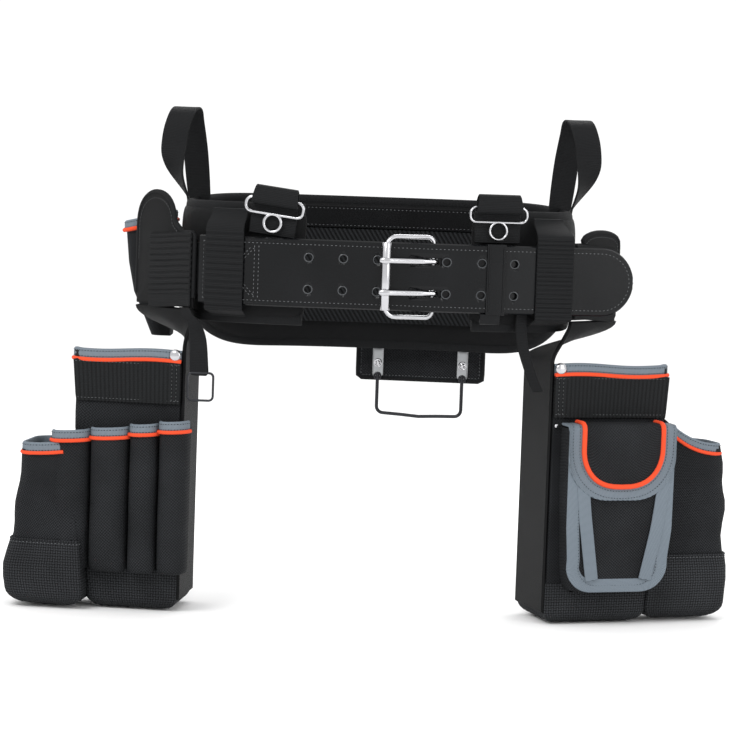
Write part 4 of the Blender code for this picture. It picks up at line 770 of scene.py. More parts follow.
def build_billet():
    round_start = TIP_START[0] + TIP_STRAIGHT * TIP_DIRECTION[0]
    places = list(np.linspace(-0.1665, round_start, 90))
    halves = [LEATHER_HALF] * len(places)
    for angle in range(8, 88, 8):
        places.append(round_start + LEATHER_HALF * math.sin(math.radians(angle)) * TIP_DIRECTION[0])
        halves.append(LEATHER_HALF * math.cos(math.radians(angle)))
    grid = [[on_belt(x, half * s) for x, half in zip(places, halves)] for s in np.linspace(-1, 1, 9)]
    belt = sheet("belt_leather", grid, LEATHER_THICKNESS, LEATHER, replaces=("leather_billet",))
    for number in range(-3, 4):
        x = SLOT_X + number * HOLE_PITCH
        for row, z in (("low", -HOLE_ROW), ("high", HOLE_ROW)):
            outward = unit(on_belt(x, z, 0.01) - on_belt(x, z))
            loops = []
            for depth in (-0.008, 0.008):
                ring = []
                stretch = 0.026 if number == 0 else 0.0
                for a in full_turn(20):
                    dx = HOLE_RADIUS * math.cos(a) + (stretch if math.cos(a) > 0 else 0.0)
                    ring.append(on_belt(x + dx, z + HOLE_RADIUS * math.sin(a)) + outward * depth)
                loops.append(ring)
            cutter = loft(f"hole_cutter_{row}_{number + 3}", loops, LEATHER, body=None)
            cutter.hide_render = True
            cutter.hide_viewport = True
            modifier = belt.modifiers.new(cutter.name, "BOOLEAN")
            modifier.object = cutter
            modifier.solver = "EXACT"
            if number:
                # A painted highlight: a lighter ring round each hole except the stretched one that the prong
                # is in.
                rim = []
                for a in full_turn(24):
                    depth = LEATHER_THICKNESS / 2 - 0.0002
                    rim.append(on_belt(x + RIM_RADIUS * math.cos(a), z + RIM_RADIUS * math.sin(a), depth))
                tube(f"hole_rim_{row}_{number + 3}", rim, 0.0006, HOLE_HIGHLIGHT, closed=True, sides=6)
    face = LEATHER_THICKNESS / 2 - 0.00008
    inset = LEATHER_HALF - 0.0042
    straight = np.linspace(-0.162, round_start, 140)
    edge = [on_belt(x, inset, face) for x in straight]
    for angle in range(10, 171, 8):
        turn = math.radians(angle)
        x = round_start + inset * math.sin(turn) * TIP_DIRECTION[0]
        edge.append(on_belt(x, inset * math.cos(turn), face))
    edge += [on_belt(x, -inset, face) for x in straight[::-1]]
    rows = [edge]
    for x, reach in ((-0.1625, 0.027), (-0.1585, 0.027), (-0.1165, 0.024), (-0.1125, 0.024)):
        rows.append([on_belt(x, z, face) for z in np.linspace(-reach, reach, 20)])
    for sign in (-1, 1):
        for shift in (-0.0018, 0.0018):
            cross = zip(np.linspace(-0.157, -0.119, 20), np.linspace(-0.022, 0.022, 20))
            rows.append([on_belt(x + shift, sign * z, face) for x, z in cross])
    stitches("belt_leather_stitches", rows, PALE_THREAD, pitch=0.0040, length=0.0026, radius=0.00042)
    for name, side in (("top", 1), ("bottom", -1)):
        groove = [on_belt(x, side * (LEATHER_HALF - 0.0018), face - 0.0004) for x in straight]
        tube(f"belt_crease_{name}", groove, 0.0005, LEATHER, sides=6)


def copy_of(node, name, material, bevel, body="root"):
    """The node's own shape with soft edges and metric UVs."""
    source = frame["nodes"][node].data
    shape = bmesh.new()
    shape.from_mesh(source)
    bmesh.ops.remove_doubles(shape, verts=shape.verts, dist=1e-6)
    bmesh.ops.dissolve_limit(shape, angle_limit=math.radians(1.0), verts=shape.verts, edges=shape.edges)
    points = [tuple(vertex.co) for vertex in shape.verts]
    faces = [[vertex.index for vertex in face.verts] for face in shape.faces]
    corners = []
    for face in shape.faces:
        if abs(face.normal.z) > 0.7:
            corners.append([(vertex.co.x, vertex.co.y) for vertex in face.verts])
        else:
            across = Vector((-face.normal.y, face.normal.x, 0.0)).normalized()
            corners.append([(vertex.co.dot(across), vertex.co.z) for vertex in face.verts])
    shape.free()
    return solid(name, points, faces, corners, material, body=body, replaces=(node,), bevel=bevel)


def build_buckle():
    heel = np.array((HEEL_X, -HALF_DEPTH - WEB_MIDDLE, 0.0))
    roller = np.array((ROLLER_X, -HALF_DEPTH - ROLLER_OFFSET, 0.0))
    across = unit(roller - heel)
    width = np.linalg.norm(roller - heel)
    outline = rounded((0.0, -0.0385), (width, 0.0385), (0.0062, 0.0105, 0.0105, 0.0062), steps=6)
    path = [heel + across * a + np.array((0.0, 0.0, b)) for a, b in outline]
    body = "buckle_frame"
    tube("buckle_wire", path, 0.0021, NICKEL, sides=14, closed=True, body=body, replaces=(body,))
    profile = [(-0.0325, 0.0024), (-0.0325, 0.0040), (-0.0318, 0.0045)]
    profile += [(-along, radius) for along, radius in profile[::-1]]
    body = "buckle_roller"
    turned("roller_sleeve", roller, (0, 0, 1.0), profile, NICKEL, body=body, replaces=(body,))
    for name, z in (("prong_upper", HOLE_ROW), ("prong_lower", -HOLE_ROW)):
        rest = ROLLER_OFFSET + 0.0046 + 0.0017
        lean = math.degrees(math.atan2(rest - WEB_MIDDLE - PRONG_CURL, HEEL_X - ROLLER_X))
        plan = arc((HEEL_X, WEB_MIDDLE), PRONG_CURL, -195, 90 - lean, 16)
        start = plan[-1]
        for share in (0.3, 0.6, 1.0):
            x = HEEL_X + (ROLLER_X + 0.004 - HEEL_X) * share
            plan.append((x, start[1] + (rest - start[1]) * (start[0] - x) / (start[0] - ROLLER_X)))
        for back, down in ((0.0, 0.0), (0.0035, 0.0002), (0.0058, 0.0012)):
            plan.append((ROLLER_X - back, rest - down))
        path = [(x, -HALF_DEPTH - offset, z) for x, offset in plan]
        radii = [0.0024] * (len(path) - 3) + [0.0030, 0.0029, 0.0020]
        bar = {"sides": 12, "flat": 0.52, "normal": (0, -1.0, 0)}
        tube(name + "_bar", path, radii, NICKEL, body=name, replaces=(name,), **bar)


def build_keeper_and_chape():
    copy_of("leather_chape", "chape", LEATHER, 0.0004)
    copy_of("keeper", "keeper_band", LEATHER, 0.0007, body="keeper")
    face = RIGHT_MIDDLE + LEATHER_THICKNESS / 2 + 0.0006 + 0.0015
    for side, x in (("left", 0.1047), ("right", 0.1173)):
        path = [off_waist(front(x), face + 0.0001, z) for z in np.linspace(-0.0315, 0.0315, 20)]
        tube(f"keeper_edge_{side}", path, 0.0007, LEATHER, sides=8, body="keeper")
    grid = []
    for z in np.linspace(-0.0425, -0.0335, 4):
        grid.append([off_waist(front(x), face - 0.003, z) for x in np.linspace(0.098, 0.116, 5)])
    sheet("keeper_tab", grid, 0.0022, LEATHER, body="keeper")


# ---------------------------------------------------------------- straps on the pad
def strap_loop(name, node, feet, crowns, ends, half, pitch, amplitude):
    """Webbing from the pad out over the belt and back, with ribs across it where it covers the belt."""
    bottom, top = ends
    grid = []
    for z in np.arange(bottom, top + 0.0001, 0.0007):
        if z < -half:
            rise = (z - bottom) / (-half - bottom)
        elif z > half:
            rise = (top - z) / (top - half)
        else:
            rise = 1.0
        rise = 0.5 - 0.5 * math.cos(math.pi * clamp(rise * 1.25))
        ripple = amplitude * (abs(math.sin(math.pi * z / pitch)) - 0.5) if abs(z) < half + 0.004 else 0.0
        row = []
        for foot, crown in zip(feet, crowns):
            outward = unit(crown - foot)
            row.append(np.append(foot + (crown - foot) * rise + outward * ripple, z))
        grid.append(row)
    cloth(sheet(name, grid, 0.0017, WEBBING, replaces=(node,)))


def build_pad_loops():
    half = 0.018
    crown = LEATHER_HALF + 0.003
    centre = front(-0.1665) + 0.027
    stops = np.linspace(centre - half, centre + half, 9)
    feet = [off_waist(d, 0.0013, 0.0)[:2] for d in stops]
    crowns = [off_waist(d, LEFT_MIDDLE + 0.0037, 0.0)[:2] for d in stops]
    strap_loop("loop_left", "pad_loop_left", feet, crowns, (-0.044, 0.059), crown, 0.0058, 0.0011)
    alongs = np.linspace(0.0485 - half, 0.0485 + half, 9)
    feet = [off_waist(front(TIP_START_X) + a, 0.0013, 0.0)[:2] for a in alongs]
    crowns = [TIP_START + TIP_DIRECTION * a + TIP_NORMAL * 0.0035 for a in alongs]
    strap_loop("loop_right", "pad_loop_right", feet, crowns, (-0.044, 0.059), crown, 0.0043, 0.0009)
    for name, side in (("left", 1), ("right", -1)):
        stops = np.linspace(-half, half, 7) + WAIST_LENGTH / 2 + side * 0.17
        feet = [off_waist(d, 0.0013, 0.0)[:2] for d in stops]
        crowns = [off_waist(d, WEB_OUTER + 0.0017, 0.0)[:2] for d in stops]
        node = f"pad_loop_back_{name}"
        strap_loop(f"loop_back_{name}", node, feet, crowns, (-0.040, 0.040), 0.028, 0.0045, 0.0007)


def build_handle(name, side):
    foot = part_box(f"carry_handle_{name}")[0].z
    rows = [
        (0.1925, -0.036, foot - 0.006, 90),
        (0.1925, -0.036, foot + 0.004, 88),
        (0.2030, -0.038, 0.088, 62),
        (0.2085, -0.036, 0.108, 22),
        (0.2085, -0.033, 0.122, 2),
        (0.2060, -0.028, 0.139, 0),
        (0.2010, -0.014, 0.1548, 0),
        (0.1965, 0.008, 0.1560, 0),
        (0.1950, 0.024, 0.142, 0),
        (0.1915, 0.034, 0.116, 0),
        (0.1890, 0.040, 0.090, 8),
        (0.1860, 0.044, foot - 0.004, 25),
    ]
    curve = smooth_curve(rows, 6)
    directions = tangents(curve[:, :3])
    path = []
    for (x, y, z, turn), direction in zip(curve, directions):
        width = np.array((math.cos(math.radians(turn)), math.sin(math.radians(turn)), 0.0))
        width = unit(width - direction * (width @ direction)) * 0.024
        path.append((np.array((side * x, y, z)), np.array((side * width[0], width[1], width[2]))))
    body = f"carry_handle_{name}"
    strap = ribbon(f"handle_{name}", path, 0.0021, WEBBING, columns=9, body=body, replaces=(body,))
    cloth(strap)
    edges = []
    for share in (-0.42, 0.42):
        edges.append([centre + width * share for centre, width in path[3:-3]])
    stitches(f"handle_stitches_{name}", edges, THREAD, body=body, pitch=0.003, radius=0.0012, length=0.0022)


def build_suspender(name, x, tilt, wire):
    distance = front(x)
    outward = np.append(waist_normal(distance), 0.0)
    up = np.array((0.0, 0.0, 1.0))
    bar = math.cos(tilt) * np.cross(up, outward) - math.sin(tilt) * up
    down = np.cross(bar, outward)
    centre = off_waist(distance, 0.0056, 0.069)
    body = f"suspender_ring_{name}"
    outline = rounded((-0.028, 0.0), (0.028, 0.0142), (0.0060,) * 4, steps=5)
    path = [centre + bar * a + down * b for a, b in outline]
    tube(f"link_{name}", path, wire, NICKEL, closed=True, sides=12, body=body, replaces=(body,))
    ring = arc((0.0, 0.0142 + 0.0082), 0.0084, 0, 345, 28)
    path = [centre + bar * a + down * b for a, b in ring]
    tube(f"eye_{name}", path, wire, NICKEL, closed=True, sides=12, body=body)
    plan = [(-0.0045, -0.034), (-0.0045, -0.020), (-0.0046, -0.008), (-0.0046, 0.004), (-0.0038, 0.0092)]
    plan += [(-0.0004, 0.0118), (0.0034, 0.0100), (0.0050, 0.0050), (0.0050, -0.0010), (0.0034, -0.0046)]
    plan += [(0.0004, -0.0050), (-0.0018, -0.0042)]
    rows = []
    for r, h in smooth_curve(plan, 3):
        narrow = 0.044 - 0.004 * max(0.0, h) / 0.012
        rows.append((centre + outward * r - down * h, bar * narrow))
    tab = ribbon(f"tab_{name}", rows, 0.0016, WEBBING, replaces=(f"suspender_tab_{name}",))
    cloth(tab)


# ---------------------------------------------------------------- hammer holder
def back_distance(x):
    behind = WAIST[:, 1] > 0
    return np.interp(x, WAIST[behind, 0][::-1], ROUND[behind][::-1])


HAMMER_AT = back_distance(0.050)
HAMMER_OUT = waist_normal(HAMMER_AT)
HAMMER_ALONG = np.array((HAMMER_OUT[1], -HAMMER_OUT[0]))
HAMMER_FACE = off_waist(HAMMER_AT, 0.0076, 0.0)[:2]


def hammer_point(a, z, depth):
    return np.append(HAMMER_FACE + HAMMER_ALONG * a + HAMMER_OUT * depth, z)


def build_hammer():
    outline = rounded((-0.068, -0.125), (0.068, 0.034), (0.003,) * 4, steps=3)
    outline = resample(np.concatenate([outline, outline[:1]]), 0.006)[:-1]

    def on_plate(a, z, depth):
        return hammer_point(a, z, depth + 0.00175)

    def on_clip(a, z, depth):
        return hammer_point(a, z, depth - 0.0013)

    pillow("hammer_patch", outline, on_plate, 0.0034, 0.0012, 0.0, NYLON, replaces=("hammer_plate",))
    border = rounded((-0.0645, -0.1215), (0.0645, 0.0305), (0.002,) * 4, steps=2)
    border = [*border, border[0]]
    seams = [[hammer_point(a, z, depth) for a, z in border] for depth in (-0.0001, 0.0036)]
    stitches("hammer_stitches", seams, PALE_THREAD)
    edge = [hammer_point(a, z, 0.0017) for a, z in outline]
    tube("hammer_piping", edge, 0.0024, WEBBING, closed=True, sides=8)
    copy_of("hammer_belt_loop", "hammer_loop_strap", WEBBING, 0.0003)
    leg = 0.046
    plan = [(-leg, z) for z in (-0.120, -0.128, -0.150)]
    plan += arc((-leg + 0.007, -0.1555), 0.007, 180, 270, 5)
    plan += [(-0.02, -0.1635), (0.0, -0.1650), (0.02, -0.1640)]
    plan += arc((leg - 0.007, -0.1565), 0.007, 270, 360, 5)
    plan += [(leg, z) for z in (-0.150, -0.128, -0.120)]
    path = [hammer_point(a, z, -0.0027) for a, z in plan]
    tube("hammer_wire", path, 0.0019, STEEL, sides=12, replaces=("hammer_loop",))
    for name, a in (("left", -leg), ("right", leg)):
        radii = (0.004, 0.004, 0.001, 0.001)
        outline = rounded((a - 0.006, -0.1235), (a + 0.006, -0.090), radii, steps=4)
        pillow(f"hammer_clip_{name}", outline, on_clip, 0.0015, 0.0006, 0.0, CLIP)
        spot = hammer_point(a, -0.108, -0.0021)
        profile = [(0.0, 0.0045), (0.0006, 0.0046), (0.0011, 0.0040), (0.0008, 0.0032)]
        profile += [(0.0008, 0.0026), (0.0015, 0.0020), (0.0017, 0.0008)]
        outward = -np.append(HAMMER_OUT, 0.0)
        turned(f"hammer_stud_{name}", spot, outward, profile, NICKEL, replaces=(f"hammer_rivet_{name}",))
        ring = arc((a, -0.1225), 0.0034, 0, 345, 16)
        eye = [hammer_point(p, z, -0.0027) for p, z in ring]
        tube(f"hammer_eye_{name}", eye, 0.0011, STEEL, closed=True, sides=8)


# ---------------------------------------------------------------- hangers
HANGER_ANGLE = math.radians(50.0)
HANGER_REAR = 0.085
HANGER_BOTTOM = -0.040
HANGER_FRONT = {-1: -0.010, 1: 0.0085}
TONGUE_TOP = {-1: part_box("hanger_left")[1].z, 1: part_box("hanger_right")[1].z}
SIDE_NAME = {-1: "left", 1: "right"}


def hanger_point(side, along, z, depth):
    slope = math.tan(HANGER_ANGLE) * HALF_WIDTH / HALF_DEPTH
    ratio = slope ** (1 / (FRONT_POWER - 1))
    y = (1 + ratio**FRONT_POWER) ** (-1 / FRONT_POWER)
    touch = np.array((side * ratio * y * HALF_WIDTH, -y * HALF_DEPTH))
    out = np.array((side * math.sin(HANGER_ANGLE), -math.cos(HANGER_ANGLE)))
    back = np.array((side * math.cos(HANGER_ANGLE), math.sin(HANGER_ANGLE)))
    return np.append(touch + out * (0.0076 + depth) + back * along, z)


def build_hanger(side):
    name = SIDE_NAME[side]
    near = HANGER_FRONT[side]
    tongue = HANGER_REAR - 0.031
    outline = [(near, HANGER_BOTTOM + 0.001), (near, 0.0), (near, 0.031)]
    outline += [(near + 0.003, 0.034), (near + 0.020, 0.034)]
    rise = TONGUE_TOP[side] - 0.034
    for angle in range(172, -1, -10):
        turn = math.radians(angle)
        outline.append((tongue + 0.031 * math.cos(turn), 0.034 + rise * max(0.0, math.sin(turn)) ** 0.7))
    outline += [(HANGER_REAR, 0.0), (HANGER_REAR, HANGER_BOTTOM + 0.001)]
    outline = resample([*outline, outline[0]], 0.005)[:-1]

    def place(a, z, depth):
        return hanger_point(side, a, z, depth + 0.002)

    node = f"hanger_{name}"
    panel = pillow(f"hanger_pad_{name}", outline, place, 0.0040, 0.0030, 0.0012, SMOOTH, replaces=(node,))
    inner = outline + (outline.mean(axis=0) - outline) * 0.10
    top = [hanger_point(side, a, z, 0.0046) for a, z in inner if z > 0.005]
    stitches(f"hanger_stitches_{name}", [top], PALE_THREAD, radius=0.0003)
    path = [hanger_point(side, a, z, 0.0022) for a, z in outline if z > HANGER_BOTTOM + 0.006]
    tube(f"hanger_piping_{name}", path, 0.0024, WEBBING, sides=8)
    grid = []
    for z in np.arange(-0.039, 0.0331, 0.0007):
        ripple = 0.0013 * (abs(math.sin(math.pi * z / 0.0058)) - 0.5) if -0.026 < z < 0.031 else 0.0
        row = []
        for a in np.linspace(near + 0.001, near + 0.069, 13):
            sag = 0.0009 * math.cos((a - near) / 0.069 * math.pi)
            row.append(hanger_point(side, a, z + sag * 2, 0.0057 + ripple))
        grid.append(row)
    node = f"hanger_strap_{name}"
    webbing = sheet(f"hanger_webbing_{name}", grid, 0.0021, WEBBING, replaces=(node,))
    cloth(webbing)
    copy_of(f"hanger_tunnel_{name}", f"tunnel_{name}", WEBBING, 0.0003)


def build_lanyards():
    near = HANGER_FRONT[-1]
    rows = (
        (-0.0393, 0.0085, 0.0055, 0.0, 0.0170),
        (-0.0450, 0.0000, 0.0081, 8.0, 0.0145),
        (-0.0520, -0.0085, 0.0067, 20.0, 0.0136),
        (-0.0690, -0.0085, 0.0010, 40.0, 0.0153),
        (-0.1000, -0.0073, -0.0022, 50.0, 0.0170),
    )
    out = np.array((-math.sin(HANGER_ANGLE), -math.cos(HANGER_ANGLE), 0.0))
    back = np.array((-math.cos(HANGER_ANGLE), math.sin(HANGER_ANGLE), 0.0))
    path = []
    for z, along, depth, turn, width in smooth_curve(rows, 5):
        angle = math.radians(turn)
        across = back * math.cos(angle) + out * math.sin(angle)
        path.append((hanger_point(-1, near + along, z, depth), across * width))
    centre = path[-1][0]
    for lower, wide in ((0.0014, 0.0165), (0.0030, 0.0150), (0.0038, 0.0145)):
        path.append((centre - np.array((0.0, 0.0, lower)), unit(path[-1][1]) * wide))
    strap = ribbon("lanyard_left", path, 0.0021, WEBBING, replaces=("lanyard_strap_left",))
    cloth(strap)
    low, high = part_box("strap_ring")
    wire = 0.0012
    corners = (low.x + wire, low.z + wire), (high.x - wire, high.z - wire)
    outline = rounded(*corners, (0.004,) * 4, steps=4)
    path = [(x, (low.y + high.y) / 2, z) for x, z in outline]
    tube("ring_wire", path, wire, STEEL, closed=True, body="strap_ring", replaces=("strap_ring",))
    place = front(0.140)
    normal = np.append(waist_normal(place), 0.0)
    along = np.array((-normal[1], normal[0], 0.0))
    rows = []
    shape = smooth_curve(((0.0, -0.033), (0.0, -0.048), (0.003, -0.066), (0.011, -0.088), (0.020, -0.108)), 5)
    for shift, z in shape:
        rows.append((off_waist(place, 0.0015, z) + along * shift, along * 0.0104))
    strap = ribbon("lanyard_right", rows, 0.0021, WEBBING, replaces=("lanyard_strap_right",))
    cloth(strap)


def build_holster():
    low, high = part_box("side_holster")
    inner = high.x
    depth = high.x - low.x
    middle = (low.y + high.y) / 2
    levels = [(-0.074, 0.42, 0.020, 0.25), (-0.074, 0.42, 0.020, 1.0), (-0.050, 0.62, 0.0245, 1.0)]
    levels += [(-0.030, 0.80, 0.0275, 1.0), (0.0, 0.92, 0.030, 1.0), (0.041, 1.0, 0.031, 1.0)]

    def ring(z, share, half, scale, wall):
        points = []
        corners = (wall, wall - half), (depth * share - wall, half - wall)
        outline = rounded(*corners, (0.002, 0.012, 0.012, 0.002), steps=4)
        centre = outline.mean(axis=0)
        for reach, y in centre + (outline - centre) * scale:
            rise = 0.012 * (1 - reach / depth) * (z > 0.03)
            points.append((inner - reach, middle + y, z + rise))
        return points

    loops = [ring(*level, 0.0) for level in levels]
    loops += [ring(*level[:3], 1.0, 0.0022) for level in levels[:0:-1]]
    loft("holster_shell", loops, NYLON, replaces=("side_holster",))
    copy_of("holster_belt_loop", "holster_loop_strap", WEBBING, 0.0003)
    rim = np.array(ring(0.041, 1.0, 0.031, 1.0, 0.0011))
    centre = rim.mean(axis=0)
    outs = unit((rim - centre) * (1, 1, 0))
    bind("holster", rim, outs, "root", height=0.009, closed=True)


# ---------------------------------------------------------------- pouches
def bind(name, path, outs, body, height=0.0100, half=0.0026, closed=False, replaces=(), piping=0.0021):
    """Grey tape folded over a rim, orange piping along its lower edge and two rows of stitches."""
    path = np.asarray(path, float)
    outs = np.asarray(outs, float)
    section = [(-half, -height), (-half * 1.1, -height * 0.5), (-half, -0.0012), (-half * 0.5, 0.0)]
    section += [(half * 0.5, 0.0), (half, -0.0012), (half * 1.15, -height * 0.5), (half, -height)]
    moulding(f"{name}_binding", path, outs, section, GREY, closed=closed, body=body, replaces=replaces)
    up = np.array((0.0, 0.0, 1.0))
    bead = path + outs * (half + 0.0004) - up * (height + piping * 0.4)
    tube(f"{name}_piping", bead, piping, ORANGE, closed=closed, body=body)
    rows = []
    for drop in (0.0024, 0.0078):
        row = path + outs * (half * 1.12 + 0.0001) - up * drop
        rows.append(np.concatenate([row, row[:1]]) if closed else row)
    stitches(f"{name}_stitches", rows, THREAD, body=body, pitch=0.0030, length=0.0022, radius=0.00045)


class Pouch:
    """A pouch's plan axes and sizes, read from its packed base and rim."""

    def __init__(self, side):
        self.side = side
        self.name = SIDE_NAME[side]
        self.body = self.name + "_pouch"
        corners = np.array([vertex.co for vertex in frame["nodes"][self.name + "_base"].data.vertices])
        x, y = corners[:, 0], corners[:, 1]
        self.origin = corners[np.argmin(side * x + 1.2 * y)][:2]
        across = corners[np.argmax(side * x - 1.2 * y)][:2] - self.origin
        deep = corners[np.argmin(side * x - 1.2 * y)][:2] - self.origin
        self.bottom_width = np.linalg.norm(across)
        self.depth = np.linalg.norm(deep)
        self.u_axis = across / self.bottom_width
        self.v_axis = deep / self.depth
        self.base = corners[:, 2].min()
        rim = np.array([vertex.co for vertex in frame["nodes"][self.name + "_rim_binding"].data.vertices])
        self.rim = rim[:, 2].max()
        self.top_width = ((rim[:, :2] - self.origin) @ self.u_axis).max() - 0.0012

    def point(self, u, v, z):
        return np.append(self.origin + self.u_axis * u + self.v_axis * v, z)

    def out(self, a, b):
        return np.append(self.u_axis * a + self.v_axis * b, 0.0)

    def width(self, z):
        share = (z - self.base) / (self.rim - self.base)
        return self.bottom_width + (self.top_width - self.bottom_width) * share

    def wrinkle(self, u, z, strength=0.0027):
        return strength * (math.sin(38 * u + 21 * z) + 0.6 * math.sin(95 * z - 30 * u + 1.3))


def cup(name, ring, levels, wall, material, **options):
    """A bag's wall and floor: ring(z, inset) gives a loop of points, for each level (z, inset)."""
    low = levels[0][0]
    loops = []
    for share in (0.3, 0.7, 0.93):
        loop = np.array(ring(low, levels[0][1]))
        centre = loop.mean(axis=0)
        loops.append(centre + (loop - centre) * share)
    loops += [ring(z, inset) for z, inset in levels]
    loops += [ring(z, inset + wall) for z, inset in levels[::-1]]
    last = np.array(ring(low + wall, levels[0][1] + wall))
    centre = last.mean(axis=0)
    loops += [last, centre + (last - centre) * 0.5]
    return loft(name, loops, material, **options)


REAR_DROP = 0.012
POUCH_TOE = 0.015
POCKET_TOE = 0.020
POCKET_BASE = -0.337


def toe(height, radius, steps=6):
    """(height, inset) stops of a rounded bottom edge, from the floor up."""
    stops = []
    for turn in np.linspace(12, 90, steps):
        rise = radius * (1 - math.sin(math.radians(90 - turn))) * 0.8
        stops.append((height + rise, radius * (1 - math.sin(math.radians(turn)))))
    return stops


def overlay(name, ring, stops, body):
    """Coarse cloth outside a bag: ring(z, inset) gives a loop, for each stop (z, inset)."""
    loops = [ring(z, inset) for z, inset in stops]
    loops += [ring(z, inset + 0.0018) for z, inset in stops[:0:-1]]
    loft(name, loops, COARSE, body=body)


def build_pouch_body(pouch):
    depth = pouch.depth

    def ring(z, inset):
        width = pouch.width(z)
        corners = (inset, inset), (width - inset, depth - inset)
        outline = rounded(*corners, (0.002, 0.008, 0.010, 0.002), steps=4, fill=12)
        points = []
        height = (z - pouch.base) / (pouch.rim - pouch.base)
        for u, v in outline:
            fall = REAR_DROP * clamp((v - 0.010) / (depth - 0.020)) * (height > 0.9)
            belly = 0.0026 * math.sin(math.pi * min(1.0, height * 1.05))
            waver = pouch.wrinkle(u + v, z) * math.sin(math.pi * min(1.0, height))
            du = (belly + waver) * (u > width - 0.012)
            dv = (belly * 0.4 + waver * 0.7) * ((v > depth - 0.010) - (v < 0.010) * 0.3)
            points.append(pouch.point(u + du * 0.8, v + dv, z - fall))
        return points

    base = pouch.base
    top = pouch.rim - 0.004
    levels = toe(base + 0.0010, POUCH_TOE)
    levels += [(z, 0.0) for z in (*np.linspace(base + 0.024, top - 0.016, 15), top - 0.008, top)]
    nodes = [f"{pouch.name}_{part}" for part in ("front_panel", "side_panel", "rear_panel", "base")]
    cup(f"{pouch.name}_bag", ring, levels, 0.0026, NYLON, body=pouch.body, replaces=nodes)
    boot = [(z - 0.0011, inset - 0.0013) for z, inset in toe(base + 0.0010, POUCH_TOE)]
    boot += [(base + 0.030, -0.0013), (base + 0.040, -0.0012)]
    overlay(f"{pouch.name}_boot", ring, boot, pouch.body)
    middle = 0.0015
    width = pouch.top_width
    stops = [(0.0, middle), (width - 0.012, middle)]
    stops += arc((width - 0.0115, middle + 0.010), 0.010, -90, 0, 5)
    stops += [(width - middle, depth - 0.0115)]
    stops += arc((width - 0.0115, depth - 0.0115), 0.010, 0, 90, 5)
    stops += [(0.0, depth - middle)]
    stops = resample(stops, 0.005)
    directions = tangents(stops)
    path = []
    outs = []
    for (u, v), (a, b) in zip(stops, directions):
        drop = REAR_DROP * clamp((v - 0.010) / (depth - 0.020))
        lift = 0.0012 * math.sin(u * 55)
        path.append(pouch.point(u, v, pouch.rim - drop + lift - 0.0006))
        outs.append(pouch.out(b, -a))
    bind(f"{pouch.name}_rim", path, outs, pouch.body, replaces=(f"{pouch.name}_rim_binding",))
    grid = []
    for z in np.linspace(-0.1338, -0.0935, 8):
        row = []
        for u in np.linspace(0.0, pouch.width(z) - 0.001, 30):
            row.append(pouch.point(u, -0.0018 - 0.0006 * math.sin(u * 60), z))
        grid.append(row)
    node = f"{pouch.name}_webbing_band"
    band = sheet(f"{pouch.name}_band", grid, 0.0023, BAND, body=pouch.body, replaces=(node,))
    cloth(band)
    seams = []
    for z in (-0.1308, -0.0952):
        across = np.linspace(0.002, pouch.width(z) - 0.003, 30)
        seams.append([pouch.point(u, -0.0032, z) for u in across])
    for u in (0.004, 0.0085):
        seams.append([pouch.point(u, -0.0032, z) for z in np.linspace(-0.130, -0.096, 12)])
    stitches(f"{pouch.name}_band_stitches", seams, PALE_THREAD, body=pouch.body, radius=0.0003)
    profile = [(-0.002, 0.0058), (0.0006, 0.0060), (0.0016, 0.0056), (0.0026, 0.0042), (0.0031, 0.0022)]
    spot = pouch.point(0.006, -0.0012, pouch.rim - 0.0052)
    forward = pouch.out(0, -1)
    node = f"{pouch.name}_rivet"
    turned(f"{pouch.name}_stud", spot, forward, profile, NICKEL, body=pouch.body, replaces=(node,))


def build_neck(pouch):
    """The pouch's inner wall turns and widens above the rim, up to its hanger."""
    near = HANGER_FRONT[pouch.side]
    top = HANGER_BOTTOM - 0.0012
    grid = []
    for z in [*np.linspace(pouch.base + 0.012, pouch.rim - 0.008, 12), *np.linspace(pouch.rim, top, 16)]:
        share = max(0.0, (z - pouch.rim) / (top - pouch.rim))
        share = share * share * (3 - 2 * share) if share < 1 else 1.0
        row = []
        for place in np.linspace(0, 1, 14):
            lower = pouch.point(-0.0023, 0.0008 + (pouch.depth - 0.0016) * place, z)
            fold = 0.0010 * math.sin(place * 9 + z * 160) * math.sin(math.pi * min(1.0, share))
            upper = hanger_point(pouch.side, near + (HANGER_REAR - near) * place, z, 0.002 + fold)
            row.append(lower * (1 - share) + upper * share)
        grid.append(row)
    node = f"{pouch.name}_back_panel"
    neck = sheet(f"{pouch.name}_neck", grid, 0.0038, SMOOTH, body=None, replaces=(node,))
    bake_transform(neck)
    cloth(neck)
    return neck


TUBE_EDGES = [0.1250, 0.0863, 0.0475, 0.0184, -0.0120]
TUBE_TOPS = [-0.1630, -0.1590, -0.1540, -0.1500]


